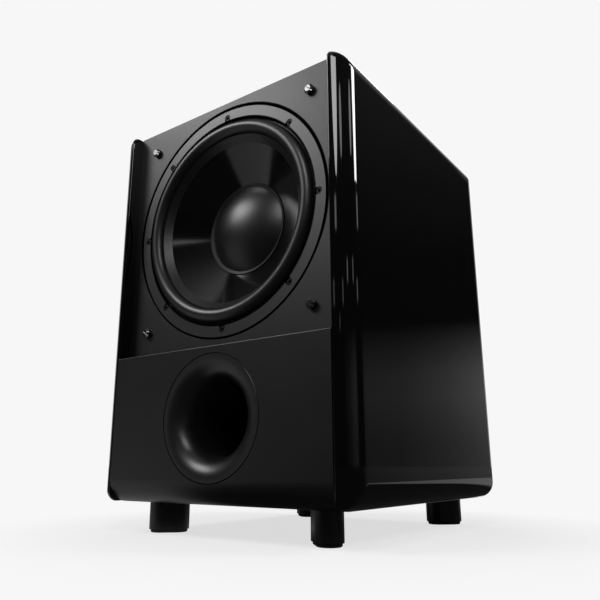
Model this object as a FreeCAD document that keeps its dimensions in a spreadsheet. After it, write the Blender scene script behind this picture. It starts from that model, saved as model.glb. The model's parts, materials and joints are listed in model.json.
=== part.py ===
import FreeCAD, Part
import math
import os
import Sketcher
from FreeCAD import Placement, Rotation, Vector

# Powered subwoofer with one front driver and a front port.
# Before each piece is placed, X is to the right, Y runs back from the front face
# and Z runs up from the underside of the cabinet.

doc = FreeCAD.newDocument("Subwoofer")
sheet = doc.addObject("Spreadsheet::Sheet", "Dimensions")
pieces = {}


class Size:
    """A length together with the spreadsheet formula it comes from."""

    def __init__(self, value, formula):
        self.value = float(value)
        self.formula = formula

    def __add__(self, other):
        return Size(self.value + number(other), f"({self.formula} + {formula(other)})")

    def __radd__(self, other):
        return Size(number(other) + self.value, f"({formula(other)} + {self.formula})")

    def __sub__(self, other):
        return Size(self.value - number(other), f"({self.formula} - {formula(other)})")

    def __rsub__(self, other):
        return Size(number(other) - self.value, f"({formula(other)} - {self.formula})")

    def __mul__(self, other):
        return Size(self.value * number(other), f"({self.formula} * {formula(other)})")

    __rmul__ = __mul__

    def __truediv__(self, other):
        return Size(self.value / number(other), f"({self.formula} / {formula(other)})")

    def __neg__(self):
        return self * -1


def number(size):
    return size.value if isinstance(size, Size) else float(size)


def formula(size):
    return size.formula if isinstance(size, Size) else f"{float(size):.6f}"


def cell(alias, value):
    """Adds one driving dimension to the spreadsheet."""
    row = len(sheet_rows) + 1
    sheet_rows.append(alias)
    sheet.set(f"A{row}", alias)
    sheet.set(f"B{row}", str(value))
    sheet.setAlias(f"B{row}", alias)
    return Size(value, f"Dimensions.{alias}")


sheet_rows = []

# Cabinet
width = cell("cabinet_width", 385.6)
height = cell("cabinet_height", 520)
depth = cell("cabinet_depth", 418)
edge = cell("edge_radius", 28)
corner_blend = cell("corner_blend_radius", 12)
inner_edge = cell("inner_edge_radius", 1.6)
side = cell("side_thickness", 23.3)
board = cell("board_thickness", 28)
recess = cell("baffle_recess", 19)
lower = cell("lower_panel_height", 184)
brace_drop = cell("brace_drop", 4)
brace_thickness = cell("brace_thickness", 20)
window_margin = cell("brace_window_margin", 62)
groove = cell("joint_groove", 1.9)
foot_height = cell("foot_height", 38)
# Driver
driver_height = cell("driver_axis_height", 352.4)
ring_outer = cell("ring_outer_radius", 155.3)
ring_inner = cell("ring_inner_radius", 139.2)
ring_thickness = cell("ring_thickness", 5)
flange_thickness = cell("flange_thickness", 5)
gasket_thickness = cell("gasket_thickness", 2)
opening = cell("baffle_opening_radius", 139.5)
basket_wall = cell("basket_wall_radius", 137.5)
screw_circle = cell("screw_circle_radius", 145)
notch_width = cell("notch_width", 9)
screw_head = cell("screw_head_radius", 4.1)
screw_shank = cell("screw_shank_radius", 2.5)
screw_hole = cell("screw_hole_radius", 2.8)
roll_outer = cell("roll_outer_radius", 136.4)
roll_inner = cell("roll_inner_radius", 117)
roll_seat = cell("roll_seat_depth", 3.4)
roll_thickness = cell("roll_thickness", 1.4)
land_inner = cell("land_inner_radius", 109.5)
land_depth = cell("land_depth", 12)
cap_radius = cell("cap_radius", 63)
dome_radius = cell("dome_radius", 59)
dome_height = cell("dome_height", 18)
neck_depth = cell("neck_depth", 60)
cone_thickness = cell("cone_thickness", 1.6)
coil_radius = cell("coil_former_radius", 38)
former_thickness = cell("former_thickness", 0.6)
coil_thickness = cell("coil_thickness", 2)
coil_clearance = cell("coil_clearance", 1)
coil_length = cell("coil_length", 20)
spider_depth = cell("spider_depth", 76)
spider_radius = cell("spider_radius", 86)
motor_depth = cell("motor_depth", 100)
plate_thickness = cell("motor_plate_thickness", 10)
magnet_radius = cell("magnet_radius", 78)
magnet_bore = cell("magnet_bore_radius", 46)
magnet_thickness = cell("magnet_thickness", 26)
plate_radius = cell("motor_plate_radius", 73)
# Port
port_height = cell("port_axis_height", 99.5)
port_rim = cell("port_rim_radius", 74.7)
port_throat = cell("port_throat_radius", 46)
port_flare = cell("port_flare_radius", 25.5)
port_wall = cell("port_wall", 3)
port_seat = cell("port_seat_depth", 6)
port_length = depth - cell("port_back_clearance", 118)
# Feet and studs
foot_half_length = cell("foot_half_length", 25.5)
foot_half_width = cell("foot_half_width", 16.2)
foot_from_centre = width / 2 - cell("foot_side_inset", 70.9)
foot_front = cell("front_foot_position", 61.7)
foot_back = depth - cell("back_foot_inset", 40.3)
foot_screw_head = cell("foot_screw_head_radius", 5)
foot_screw_shank = cell("foot_screw_shank_radius", 2.5)
foot_screw_length = cell("foot_screw_length", 32)
foot_bore = cell("foot_bore_depth", 20)
pad_height = cell("pad_height", 4)
pad_inset = cell("pad_inset", 2)
stud_spacing = cell("stud_half_spacing", 134.5)
stud_radius = cell("stud_radius", 6.2)
stud_reach = cell("stud_reach", 6.5)
# Amplifier
amp_width = cell("amplifier_width", 240)
amp_height = cell("amplifier_height", 280)
amp_bottom = height - cell("amplifier_top_clearance", 50) - amp_height
amp_margin = cell("amplifier_margin", 16)
amp_plate = cell("amplifier_plate_thickness", 3)
amp_gasket = cell("amplifier_gasket_thickness", 1.5)
knob_radius = cell("knob_radius", 9)
knob_length = cell("knob_length", 12)
knob_gap = cell("knob_gap", 0.6)
plate_screw = cell("plate_screw_radius", 2)
plate_screw_length = cell("plate_screw_length", 22)

half = width / 2
inner = half - side
rear_proud = amp_gasket + amp_plate + knob_gap + knob_length
front_y = -(depth + rear_proud) / 2
plate_back = depth + amp_gasket
plate_face = plate_back + amp_plate
amp_top = amp_bottom + amp_height
plate_screw_spots = []
for hand in (-1, 0, 1):
    across = (amp_width / 2 - amp_margin / 2) * hand
    plate_screw_spots.append((across, amp_bottom + amp_margin / 2))
    plate_screw_spots.append((across, amp_top - amp_margin / 2))
    if hand:
        plate_screw_spots.append((across, (amp_bottom + amp_top) / 2))


def bind(item, path, size):
    """Sets a property through an expression when the size comes from the sheet."""
    if isinstance(size, Size):
        item.setExpression(path, size.formula)


def place(item, x=0, y=0, z=0, rotation=None):
    """Puts a piece at a point given from the front face and the underside of the cabinet."""
    y = front_y + y
    z = foot_height + z
    item.Placement = Placement(Vector(number(x), number(y), number(z)), rotation or Rotation())
    bind(item, "Placement.Base.x", x)
    bind(item, "Placement.Base.y", y)
    bind(item, "Placement.Base.z", z)
    return item


INWARD = Rotation(Vector(1, 0, 0), -90)  # local Z runs towards the back of the cabinet


def body(label):
    item = doc.addObject("PartDesign::Body", label)
    item.Label = label
    return item


def keep(label, item):
    """Names a finished piece and lists it for the STEP files."""
    item.Label = label
    pieces[label] = item
    return item


def sketch(owner, plane, offset=0):
    item = owner.newObject("Sketcher::SketchObject", owner.Name + "_sketch")
    support = [part for part in owner.Origin.OriginFeatures if part.Role == plane][0]
    item.AttachmentSupport = [(support, "")]
    item.MapMode = "FlatFace"
    item.AttachmentOffset = Placement(Vector(0, 0, number(offset)), Rotation())
    bind(item, "AttachmentOffset.Base.z", offset)
    return item


def pin_axis(item, geometry, position, kind, size):
    """Ties one coordinate of a sketch point."""
    if number(size) == 0:
        axis = -2 if kind == "DistanceX" else -1
        item.addConstraint(Sketcher.Constraint("PointOnObject", geometry, position, axis))
        return
    rule = Sketcher.Constraint(kind, -1, 1, geometry, position, number(size))
    bind(item, f"Constraints[{item.addConstraint(rule)}]", size)


def pin_point(item, geometry, position, x, y):
    """Ties one point of a sketch to its two coordinates."""
    pin_axis(item, geometry, position, "DistanceX", x)
    pin_axis(item, geometry, position, "DistanceY", y)


def circle(item, x, y, radius):
    centre = Vector(number(x), number(y), 0)
    index = item.addGeometry(Part.Circle(centre, Vector(0, 0, 1), number(radius)))
    pin_point(item, index, 3, x, y)
    rule = item.addConstraint(Sketcher.Constraint("Radius", index, number(radius)))
    bind(item, f"Constraints[{rule}]", radius)


def path_through(item, corners, closed=False):
    """Draws lines and arcs through corners. A corner is (x, y), or (x, y, radius, turn) when an
    arc leads on to the next corner; turn is 1 for anticlockwise and -1 for clockwise."""
    ends = []
    for index, corner in enumerate(corners if closed else corners[:-1]):
        start = Vector(number(corner[0]), number(corner[1]), 0)
        following = corners[(index + 1) % len(corners)]
        finish = Vector(number(following[0]), number(following[1]), 0)
        if len(corner) == 2:
            line = item.addGeometry(Part.LineSegment(start, finish))
            ends.append((line, 1, 2))
            continue
        radius, turn = number(corner[2]), corner[3]
        chord = finish - start
        half_circle = abs(chord.Length - 2 * radius) < 0.001
        rise = math.sqrt(max(radius ** 2 - (chord.Length / 2) ** 2, 0))
        normal = Vector(-chord.y, chord.x, 0).normalize() * turn
        centre = (start + finish) / 2 + normal * rise
        first, last = (start, finish) if turn > 0 else (finish, start)
        first_angle = math.atan2(first.y - centre.y, first.x - centre.x)
        last_angle = math.atan2(last.y - centre.y, last.x - centre.x)
        last_angle += 2 * math.pi if last_angle < first_angle else 0
        ring = Part.Circle(centre, Vector(0, 0, 1), radius)
        arc = item.addGeometry(Part.ArcOfCircle(ring, first_angle, last_angle))
        if half_circle:
            across = abs(chord.x) < abs(chord.y)
            pin_axis(item, arc, 3, "DistanceX" if across else "DistanceY", corner[0 if across else 1])
        else:
            rule = item.addConstraint(Sketcher.Constraint("Radius", arc, radius))
            bind(item, f"Constraints[{rule}]", corner[2])
        ends.append((arc, 1, 2) if turn > 0 else (arc, 2, 1))
    for index, here in enumerate(ends):
        before = ends[index - 1]
        if closed or index:
            item.addConstraint(Sketcher.Constraint("Coincident", before[0], before[2], here[0], here[1]))
        pin_point(item, here[0], here[1], corners[index][0], corners[index][1])
    if not closed:
        pin_point(item, ends[-1][0], ends[-1][2], corners[-1][0], corners[-1][1])
    return item


def outline(item, corners):
    return path_through(item, corners, closed=True)


def rectangle(item, x0, y0, x1, y1):
    return outline(item, [(x0, y0), (x1, y0), (x1, y1), (x0, y1)])


def pad(owner, profile, length, sides="One side", backwards=False):
    item = owner.newObject("PartDesign::Pad", owner.Name + "_pad")
    item.Profile = profile
    item.SideType = sides
    item.Reversed = backwards
    item.Length = number(length)
    bind(item, "Length", length)
    return item


def pocket(owner, profile, length=None, sides="One side", backwards=False):
    item = owner.newObject("PartDesign::Pocket", owner.Name + "_pocket")
    item.Profile = profile
    item.SideType = sides
    item.Reversed = backwards
    if length is None:
        item.Type = "ThroughAll"
    else:
        item.Length = number(length)
        bind(item, "Length", length)
    return item


def revolution(owner, profile):
    item = owner.newObject("PartDesign::Revolution", owner.Name + "_revolution")
    item.Profile = profile
    item.ReferenceAxis = (profile, ["V_Axis"])
    item.Angle = 360
    return item


def polar(owner, feature, count):
    item = owner.newObject("PartDesign::PolarPattern", owner.Name + "_pattern")
    item.Originals = [feature]
    axis = [part for part in owner.Origin.OriginFeatures if part.Role == "Z_Axis"][0]
    item.Axis = (axis, [""])
    item.Angle = 360
    item.Occurrences = count
    owner.Tip = item
    return item


def dress(owner, kind, size, test):
    """Adds a fillet or chamfer on the edges of the last feature that pass the test."""
    doc.recompute()
    base = owner.Tip
    names = [f"Edge{number_of + 1}" for number_of, line in enumerate(base.Shape.Edges) if test(line)]
    item = owner.newObject("PartDesign::" + kind, owner.Name + "_" + kind.lower())
    item.Base = (base, names)
    path = "Radius" if kind == "Fillet" else "Size"
    setattr(item, path, number(size))
    bind(item, path, size)
    return item


def turned(label, corners):
    """A piece turned about its own Z axis from an outline of (radius, Z) corners."""
    item = body(label)
    revolution(item, outline(sketch(item, "XZ_Plane"), corners))
    return item


def box(label, x, y, z, length, width_y, height_z):
    item = doc.addObject("Part::Box", label)
    for path, size in (("Length", length), ("Width", width_y), ("Height", height_z)):
        setattr(item, path, number(size))
        bind(item, path, size)
    return place(item, x, y, z)


def cut(label, base, tools):
    """Takes one or more tools away from a base."""
    tool = tools[0] if len(tools) == 1 else doc.addObject("Part::MultiFuse", label + "_tools")
    if len(tools) > 1:
        tool.Shapes = tools
    item = doc.addObject("Part::Cut", label + "_cut")
    item.Base = base
    item.Tool = tool
    return item


def join(label, parts):
    item = doc.addObject("Part::MultiFuse", label + "_join")
    item.Shapes = parts
    return item


def group(label, master, spots):
    """Copies of one piece, kept together as separate solids. A spot is (x, y, z, rotation)."""
    links = []
    for spot in spots:
        link = doc.addObject("App::Link", label + "_copy")
        link.LinkedObject = master
        links.append(place(link, *spot))
    item = doc.addObject("Part::Compound", label + "_group")
    item.Links = links
    return keep(label, item)


# ---------------------------------------------------------------- cabinet

def side_panel(label, hand):
    """A thick side panel whose outer edges carry one radius, mitred and blended at the corners."""
    item = body(label)
    blank = edge * 1.5
    start = (half - blank) * hand
    profile = rectangle(sketch(item, "YZ_Plane", start), 0, 0, depth, height)
    pad(item, profile, blank, backwards=hand < 0)
    reach = number(half) - 0.01
    flat = number(inner) + 0.01

    def is_rim(line):
        return abs(line.CenterOfMass.x) > reach

    def is_corner(line):
        box = line.BoundBox
        return box.XLength > 1 and max(box.YLength, box.ZLength) < number(edge) + 1

    def is_inner_rim(line):
        return max(abs(line.BoundBox.XMin), abs(line.BoundBox.XMax)) < flat

    dress(item, "Fillet", edge, is_rim)
    dress(item, "Fillet", corner_blend, is_corner)
    slab = rectangle(sketch(item, "YZ_Plane", start), -edge, -edge, depth + edge, height + edge)
    pocket(item, slab, blank - side, backwards=hand > 0)
    dress(item, "Fillet", inner_edge, is_inner_rim)
    return keep(label, place(item))


side_panel("left_side_panel", -1)
side_panel("right_side_panel", 1)

baffle_back = recess + board
back_front = depth - board


def board_piece(label, corners):
    """A board between the side panels, drawn in side view."""
    item = body(label)
    pad(item, outline(sketch(item, "YZ_Plane"), corners), inner * 2, "Symmetric")
    return item


top_panel = board_piece("top_panel", [
    (baffle_back, height - board),
    (depth, height - board, edge, 1),
    (depth - edge, height),
    (baffle_back, height),
])
keep("top_panel", place(top_panel))

bottom_panel = board_piece("bottom_panel", [
    (baffle_back, 0),
    (depth - edge, 0, edge, 1),
    (depth, board),
    (baffle_back, board),
])
pilot_holes = sketch(bottom_panel, "XY_Plane", -1)
for hand in (-1, 1):
    for back in (foot_front, foot_back):
        circle(pilot_holes, foot_from_centre * hand, back, foot_screw_shank)
pocket(bottom_panel, pilot_holes, foot_screw_length - foot_height + foot_bore + 2, backwards=True)
keep("bottom_panel", place(bottom_panel))

back_panel = board_piece("back_panel", [
    (back_front, board),
    (depth, board),
    (depth, height - board),
    (back_front, height - board),
])
cutout_half = amp_width / 2 - amp_margin
cutout = sketch(back_panel, "XZ_Plane", -depth - 1)
rectangle(cutout, -cutout_half, amp_bottom + amp_margin, cutout_half, amp_top - amp_margin)
pocket(back_panel, cutout, board + 2, backwards=True)
plate_screws = sketch(back_panel, "XZ_Plane", -back_front + 1)
for across, up in plate_screw_spots:
    circle(plate_screws, across, up, plate_screw)
pocket(back_panel, plate_screws, board + 2)
keep("back_panel", place(back_panel))

lower_panel = board_piece("lower_front_panel", [
    (edge, 0),
    (baffle_back, 0),
    (baffle_back, lower),
    (0, lower),
    (0, edge, edge, 1),
])


def is_top_front(line):
    middle = line.CenterOfMass
    return abs(middle.y) < 0.01 and abs(middle.z - number(lower)) < 0.01


dress(lower_panel, "Fillet", 1.2, is_top_front)
port_seat_radius = port_rim + groove / 2
seat = sketch(lower_panel, "XZ_Plane", 1)
circle(seat, 0, port_height, port_seat_radius)
pocket(lower_panel, seat, port_seat + 1)
port_hole_radius = port_throat + port_wall + 17
hole = sketch(lower_panel, "XZ_Plane", 1)
circle(hole, 0, port_height, port_hole_radius)
pocket(lower_panel, hole, baffle_back + 2)
keep("lower_front_panel", place(lower_panel))

seat_depth = ring_thickness + flange_thickness + gasket_thickness
stud_hole = cell("stud_hole_radius", 3)
baffle = board_piece("upper_baffle", [
    (recess, lower),
    (baffle_back, lower),
    (baffle_back, height),
    (recess, height),
])
seat = sketch(baffle, "XZ_Plane", -recess + 1)
circle(seat, 0, driver_height, ring_outer + groove)
pocket(baffle, seat, seat_depth + 1)
rim_radius = number(ring_outer + groove)


def is_seat_rim(line):
    if abs(line.CenterOfMass.y - number(recess)) > 0.01 or not hasattr(line.Curve, "Radius"):
        return False
    return abs(line.Curve.Radius - rim_radius) < 0.01


dress(baffle, "Chamfer", 0.7, is_seat_rim)
hole = sketch(baffle, "XZ_Plane", -recess + 1)
circle(hole, 0, driver_height, opening)
for horizontal in (-1, 1):
    for vertical in (-1, 1):
        circle(hole, stud_spacing * horizontal, driver_height + stud_spacing * vertical, stud_hole)
for step in range(8):
    angle = math.radians(45 * step)
    away = driver_height + screw_circle * math.sin(angle)
    circle(hole, screw_circle * math.cos(angle), away, screw_shank)
pocket(baffle, hole, board + 2)
keep("upper_baffle", place(baffle))

brace = body("cabinet_brace")
top_of_brace = lower - brace_drop
sheet_profile = rectangle(sketch(brace, "XY_Plane", top_of_brace), -inner, baffle_back, inner, back_front)
pad(brace, sheet_profile, brace_thickness, backwards=True)
opening_x = inner - window_margin
front_corner = baffle_back + window_margin
back_corner = back_front - window_margin
corner = board
window = sketch(brace, "XY_Plane", top_of_brace + 1)
outline(window, [
    (-opening_x + corner, front_corner),
    (opening_x - corner, front_corner, corner, 1),
    (opening_x, front_corner + corner),
    (opening_x, back_corner - corner, corner, 1),
    (opening_x - corner, back_corner),
    (-opening_x + corner, back_corner, corner, 1),
    (-opening_x, back_corner - corner),
    (-opening_x, front_corner + corner, corner, 1),
])
pocket(brace, window, brace_thickness + 2)
keep("cabinet_brace", place(brace))


# ---------------------------------------------------------------- driver, Z runs inward

def driver_piece(label, item):
    return keep(label, place(item, 0, recess, driver_height, INWARD))


trim = turned("driver_trim_ring", [
    (ring_inner + 0.6, 0),
    (ring_outer - 0.6, 0),
    (ring_outer, 0.6),
    (ring_outer, ring_thickness),
    (ring_inner, ring_thickness),
    (ring_inner, 0.6),
])
notch = sketch(trim, "XY_Plane", -1)
notch_half = notch_width / 2
outline(notch, [
    (ring_inner - 5, -notch_half),
    (screw_circle, -notch_half, notch_half, 1),
    (screw_circle, notch_half),
    (ring_inner - 5, notch_half),
])
notch_cut = pocket(trim, notch, ring_thickness + 2, backwards=True)
polar(trim, notch_cut, 8)
driver_piece("driver_trim_ring", trim)

flange_front = ring_thickness
flange_back = flange_front + flange_thickness
flange_inner = roll_outer - 2.5
metal = 4
basket = turned("driver_basket", [
    (flange_inner, flange_front),
    (ring_outer - 0.8, flange_front),
    (ring_outer - 0.8, flange_back),
    (basket_wall, flange_back),
    (basket_wall, flange_back + 14),
    (spider_radius + 5, spider_depth - 4),
    (spider_radius + 5, spider_depth + metal),
    (plate_radius - 6, motor_depth - 4),
    (plate_radius - 6, motor_depth),
    (coil_radius + 8, motor_depth),
    (coil_radius + 8, motor_depth - metal),
    (plate_radius - 12, motor_depth - metal),
    (spider_radius - 9, spider_depth + metal),
    (spider_radius - 9, spider_depth),
    (spider_radius, spider_depth),
    (spider_radius, spider_depth - 6),
    (basket_wall - 4.5, flange_back + 12),
    (flange_inner, flange_back + 4),
])
window = sketch(basket, "XY_Plane", flange_back + 15)
window_inner = spider_radius + 8
window_outer = basket_wall - 7
spread = math.radians(16.5)
outline(window, [
    (window_inner * math.cos(spread), window_inner * -math.sin(spread)),
    (window_outer * math.cos(spread), window_outer * -math.sin(spread), window_outer, 1),
    (window_outer * math.cos(spread), window_outer * math.sin(spread)),
    (window_inner * math.cos(spread), window_inner * math.sin(spread), window_inner, -1),
])
window_cut = pocket(basket, window, spider_depth, backwards=True)
polar(basket, window_cut, 8)
screw_ring = sketch(basket, "XY_Plane", flange_front - 1)
circle(screw_ring, screw_circle, 0, screw_hole)
screw_cut = pocket(basket, screw_ring, flange_thickness + 2, backwards=True)
polar(basket, screw_cut, 8)
driver_piece("driver_basket", basket)

gasket = turned("driver_gasket", [
    (opening + 0.5, flange_back),
    (ring_outer - 0.8, flange_back),
    (ring_outer - 0.8, seat_depth),
    (opening + 0.5, seat_depth),
])
gasket_holes = sketch(gasket, "XY_Plane", flange_back - 1)
circle(gasket_holes, screw_circle, 0, screw_hole)
polar(gasket, pocket(gasket, gasket_holes, gasket_thickness + 2, backwards=True), 8)
driver_piece("driver_gasket", gasket)

screw_length = cell("driver_screw_length", 22)
head_height = cell("screw_head_height", 4.2)
socket_width = cell("screw_socket_width", 4)


def socket_screw(label, head_radius, shank_radius, head, length, socket):
    """Cap screw whose head stands on Z = 0 and whose shank runs to +Z."""
    item = turned(label, [
        (0, -head),
        (head_radius - 0.4, -head),
        (head_radius, -head + 0.4),
        (head_radius, 0),
        (shank_radius, 0),
        (shank_radius, length - 1),
        (shank_radius - 1, length),
        (0, length),
    ])
    drive = sketch(item, "XY_Plane", -head - 1)
    reach = number(socket) / math.sqrt(3)
    corners = []
    for step in range(6):
        angle = math.radians(60 * step)
        corners.append((reach * math.cos(angle), reach * math.sin(angle)))
    outline(drive, corners)
    pocket(item, drive, head / 2 + 1, backwards=True)
    return item


screw = socket_screw("driver_screw", screw_head, screw_shank, head_height, screw_length, socket_width)
screw_spots = []
for step in range(8):
    angle = math.radians(45 * step)
    across = screw_circle * math.cos(angle)
    up = driver_height + screw_circle * math.sin(angle)
    screw_spots.append((across, recess + flange_front, up, INWARD))
group("driver_screws", screw, screw_spots)

roll_radius = (roll_outer - roll_inner) / 2
lip = ring_inner - 0.6
lip_back = ring_thickness
lip_front = lip_back - roll_thickness
surround = turned("driver_surround", [
    (lip, lip_front),
    (lip, lip_back),
    (roll_outer - roll_thickness, lip_back),
    (roll_outer - roll_thickness, roll_seat, roll_radius - roll_thickness, -1),
    (roll_inner + roll_thickness, roll_seat),
    (roll_inner + roll_thickness, roll_seat + roll_thickness),
    (land_inner, land_depth),
    (land_inner - roll_thickness, land_depth - roll_thickness * 0.5),
    (roll_inner, roll_seat, roll_radius, 1),
    (roll_outer, roll_seat),
    (roll_outer, lip_front),
])
driver_piece("driver_surround", surround)

cone_edge = roll_inner + roll_thickness
cone_edge_depth = roll_seat + roll_thickness
neck_radius = coil_radius + former_thickness
cone = turned("driver_cone", [
    (cone_edge, cone_edge_depth),
    (cone_edge, cone_edge_depth + cone_thickness),
    (land_inner - 1, land_depth + cone_thickness * 1.3),
    (neck_radius + 1.2, neck_depth + 0.6),
    (neck_radius + 1.2, neck_depth + 8),
    (neck_radius, neck_depth + 8),
    (neck_radius, neck_depth - 1),
    (land_inner, land_depth),
])
driver_piece("driver_cone", cone)

neck_slope = (neck_depth - 1 - land_depth) / (land_inner - neck_radius)
lip_inner = dome_radius - 3
cap_outer_depth = land_depth + (land_inner - cap_radius) * neck_slope
cap_inner_depth = land_depth + (land_inner - lip_inner) * neck_slope
cap_skin = 1.2
dome_base = cap_outer_depth + (cap_radius - dome_radius) * neck_slope - cap_skin * 1.2
dome_curve = (dome_radius * dome_radius + dome_height * dome_height) / (dome_height * 2)
cap = turned("dust_cap", [
    (cap_radius, cap_outer_depth - cap_skin),
    (cap_radius, cap_outer_depth),
    (lip_inner, cap_inner_depth),
    (lip_inner, dome_base, dome_curve, -1),
    (0, dome_base - dome_height + cap_skin),
    (0, dome_base - dome_height, dome_curve, 1),
    (dome_radius, dome_base),
])
driver_piece("dust_cap", cap)

former_end = motor_depth + plate_thickness / 2 + coil_length / 2 + 1
former = turned("voice_coil_former", [
    (coil_radius, neck_depth - 4),
    (coil_radius + former_thickness, neck_depth - 4),
    (coil_radius + former_thickness, former_end),
    (coil_radius, former_end),
])
driver_piece("voice_coil_former", former)

coil_inner = coil_radius + former_thickness
coil_outer = coil_inner + coil_thickness
coil_start = motor_depth + plate_thickness / 2 - coil_length / 2
coil = turned("voice_coil", [
    (coil_inner, coil_start),
    (coil_outer, coil_start),
    (coil_outer, coil_start + coil_length),
    (coil_inner, coil_start + coil_length),
])
driver_piece("voice_coil", coil)

spider_skin = 0.8
waves = 5
wave_start = coil_inner + 5
wave_step = (spider_radius - 9 - wave_start) / waves
front_side = []
back_side = []
for step in range(waves):
    here = wave_start + wave_step * step
    front_side.append((here, spider_depth - spider_skin - (2.5 if step % 2 else 0)))
    back_side.append((here, spider_depth - (2.5 if step % 2 else 0)))
spider_corners = [(coil_inner, spider_depth - spider_skin)] + front_side
spider_corners.append((spider_radius - 9, spider_depth - spider_skin))
spider_corners.append((spider_radius - 0.5, spider_depth - spider_skin))
spider_corners.append((spider_radius - 0.5, spider_depth))
spider_corners.append((spider_radius - 9, spider_depth))
spider_corners += back_side[::-1]
spider_corners.append((coil_inner, spider_depth))
driver_piece("driver_spider", turned("driver_spider", spider_corners))

gap_radius = coil_outer + coil_clearance
front_plate = turned("motor_front_plate", [
    (gap_radius, motor_depth),
    (plate_radius, motor_depth),
    (plate_radius, motor_depth + plate_thickness),
    (gap_radius, motor_depth + plate_thickness),
])
driver_piece("motor_front_plate", front_plate)

magnet_front = motor_depth + plate_thickness
magnet_back = magnet_front + magnet_thickness
magnet = turned("motor_magnet", [
    (magnet_bore, magnet_front),
    (magnet_radius - 1, magnet_front),
    (magnet_radius, magnet_front + 1),
    (magnet_radius, magnet_back - 1),
    (magnet_radius - 1, magnet_back),
    (magnet_bore, magnet_back),
])
driver_piece("motor_magnet", magnet)

pole_radius = coil_radius - coil_clearance
pole_vent = cell("pole_vent_radius", 12)
back_plate = turned("motor_back_plate", [
    (pole_vent, motor_depth - 2),
    (pole_radius, motor_depth - 2),
    (pole_radius, magnet_back),
    (plate_radius, magnet_back),
    (plate_radius, magnet_back + plate_thickness - 3),
    (plate_radius - 3, magnet_back + plate_thickness),
    (pole_vent + 4, magnet_back + plate_thickness),
    (pole_vent, magnet_back + plate_thickness - 8),
])
driver_piece("motor_back_plate", back_plate)

terminal_drop = spider_radius + 5.3
terminal = box("terminal_block", -14, recess + spider_depth - 3.5, driver_height - terminal_drop - 9,
               28, 9.5, 9)
tabs = []
for across in (-9, 4):
    tabs.append(box("terminal_tab", across, recess + spider_depth + 5, driver_height - terminal_drop - 6,
                    5, 9, 1.2))
keep("driver_terminals", join("terminals", [terminal] + tabs))

# ---------------------------------------------------------------- port, Z runs inward

spigot_radius = port_throat + port_wall
mouth_inner = port_throat + port_flare
spigot_start = cell("port_spigot_start", 30)
spigot_end = cell("port_spigot_end", 46)
mouth = turned("port_mouth", [
    (mouth_inner, 0),
    (port_rim - 0.4, 0),
    (port_rim, 0.4),
    (port_rim, port_seat),
    (port_hole_radius - 1, port_seat),
    (spigot_radius + port_wall, spigot_start - 12),
    (spigot_radius + port_wall, spigot_start),
    (spigot_radius, spigot_start),
    (spigot_radius, spigot_end),
    (port_throat, spigot_end),
    (port_throat, port_flare, port_flare, 1),
])
keep("port_mouth", place(mouth, 0, 0, port_height, INWARD))

tube_fit = cell("tube_fit", 0.1)
sleeve = cell("port_sleeve_length", 14)
tube_end = port_length - port_flare - sleeve
tube = turned("port_tube", [
    (spigot_radius + tube_fit, spigot_start),
    (spigot_radius + port_wall, spigot_start),
    (spigot_radius + port_wall, tube_end),
    (spigot_radius + tube_fit, tube_end),
])
keep("port_tube", place(tube, 0, 0, port_height, INWARD))

flare_start = port_length - port_flare
flare_end = turned("port_inner_flare", [
    (port_throat, tube_end - sleeve),
    (spigot_radius, tube_end - sleeve),
    (spigot_radius, tube_end),
    (spigot_radius + port_wall, tube_end),
    (spigot_radius + port_wall, flare_start, port_flare - port_wall, -1),
    (port_throat + port_flare, port_length - port_wall),
    (port_throat + port_flare, port_length, port_flare, 1),
    (port_throat, flare_start),
])
keep("port_inner_flare", place(flare_end, 0, 0, port_height, INWARD))

# ---------------------------------------------------------------- grille studs

stud_tail = cell("stud_tail_length", 18)
stud = turned("grille_stud", [
    (0, -stud_reach),
    (stud_radius - 2.2, -stud_reach),
    (stud_radius, -stud_reach + 2.2),
    (stud_radius, -1.2),
    (stud_radius - 0.8, -1.2),
    (stud_radius - 0.8, 0),
    (stud_hole, 0),
    (stud_hole, stud_tail),
    (0, stud_tail),
])
slot = sketch(stud, "XY_Plane", -stud_reach - 1)
rectangle(slot, -stud_radius - 1, -0.9, stud_radius + 1, 0.9)
pocket(stud, slot, 3.2, backwards=True)
stud_turn = INWARD.multiply(Rotation(Vector(0, 0, 1), 38))
stud_spots = []
for horizontal in (-1, 1):
    for vertical in (-1, 1):
        up = driver_height + stud_spacing * vertical
        stud_spots.append((stud_spacing * horizontal, recess, up, stud_turn))
group("grille_studs", stud, stud_spots)

# ---------------------------------------------------------------- feet


def stadium(item, half_length, half_width):
    straight = half_length - half_width
    return outline(item, [
        (-straight, -half_width),
        (straight, -half_width, half_width, 1),
        (straight, half_width),
        (-straight, half_width, half_width, 1),
    ])


def foot_block(label):
    """Oval foot hanging below Z = 0, with a screw hole up its middle."""
    item = body(label)
    pad(item, stadium(sketch(item, "XY_Plane"), foot_half_length, foot_half_width),
        foot_height - pad_height, backwards=True)
    through = sketch(item, "XY_Plane", 1)
    circle(through, 0, 0, foot_screw_shank + 0.3)
    pocket(item, through, foot_height)
    bore = sketch(item, "XY_Plane", -foot_height)
    circle(bore, 0, 0, foot_screw_head + 0.5)
    pocket(item, bore, foot_bore, backwards=True)
    return item


foot_spots = {
    "front_left_foot": (-foot_from_centre, foot_front, 45),
    "front_right_foot": (foot_from_centre, foot_front, -45),
    "back_left_foot": (-foot_from_centre, foot_back, -45),
    "back_right_foot": (foot_from_centre, foot_back, 45),
}
for label, (across, back, turn) in foot_spots.items():
    keep(label, place(foot_block(label), across, back, 0, Rotation(Vector(0, 0, 1), turn)))

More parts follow.
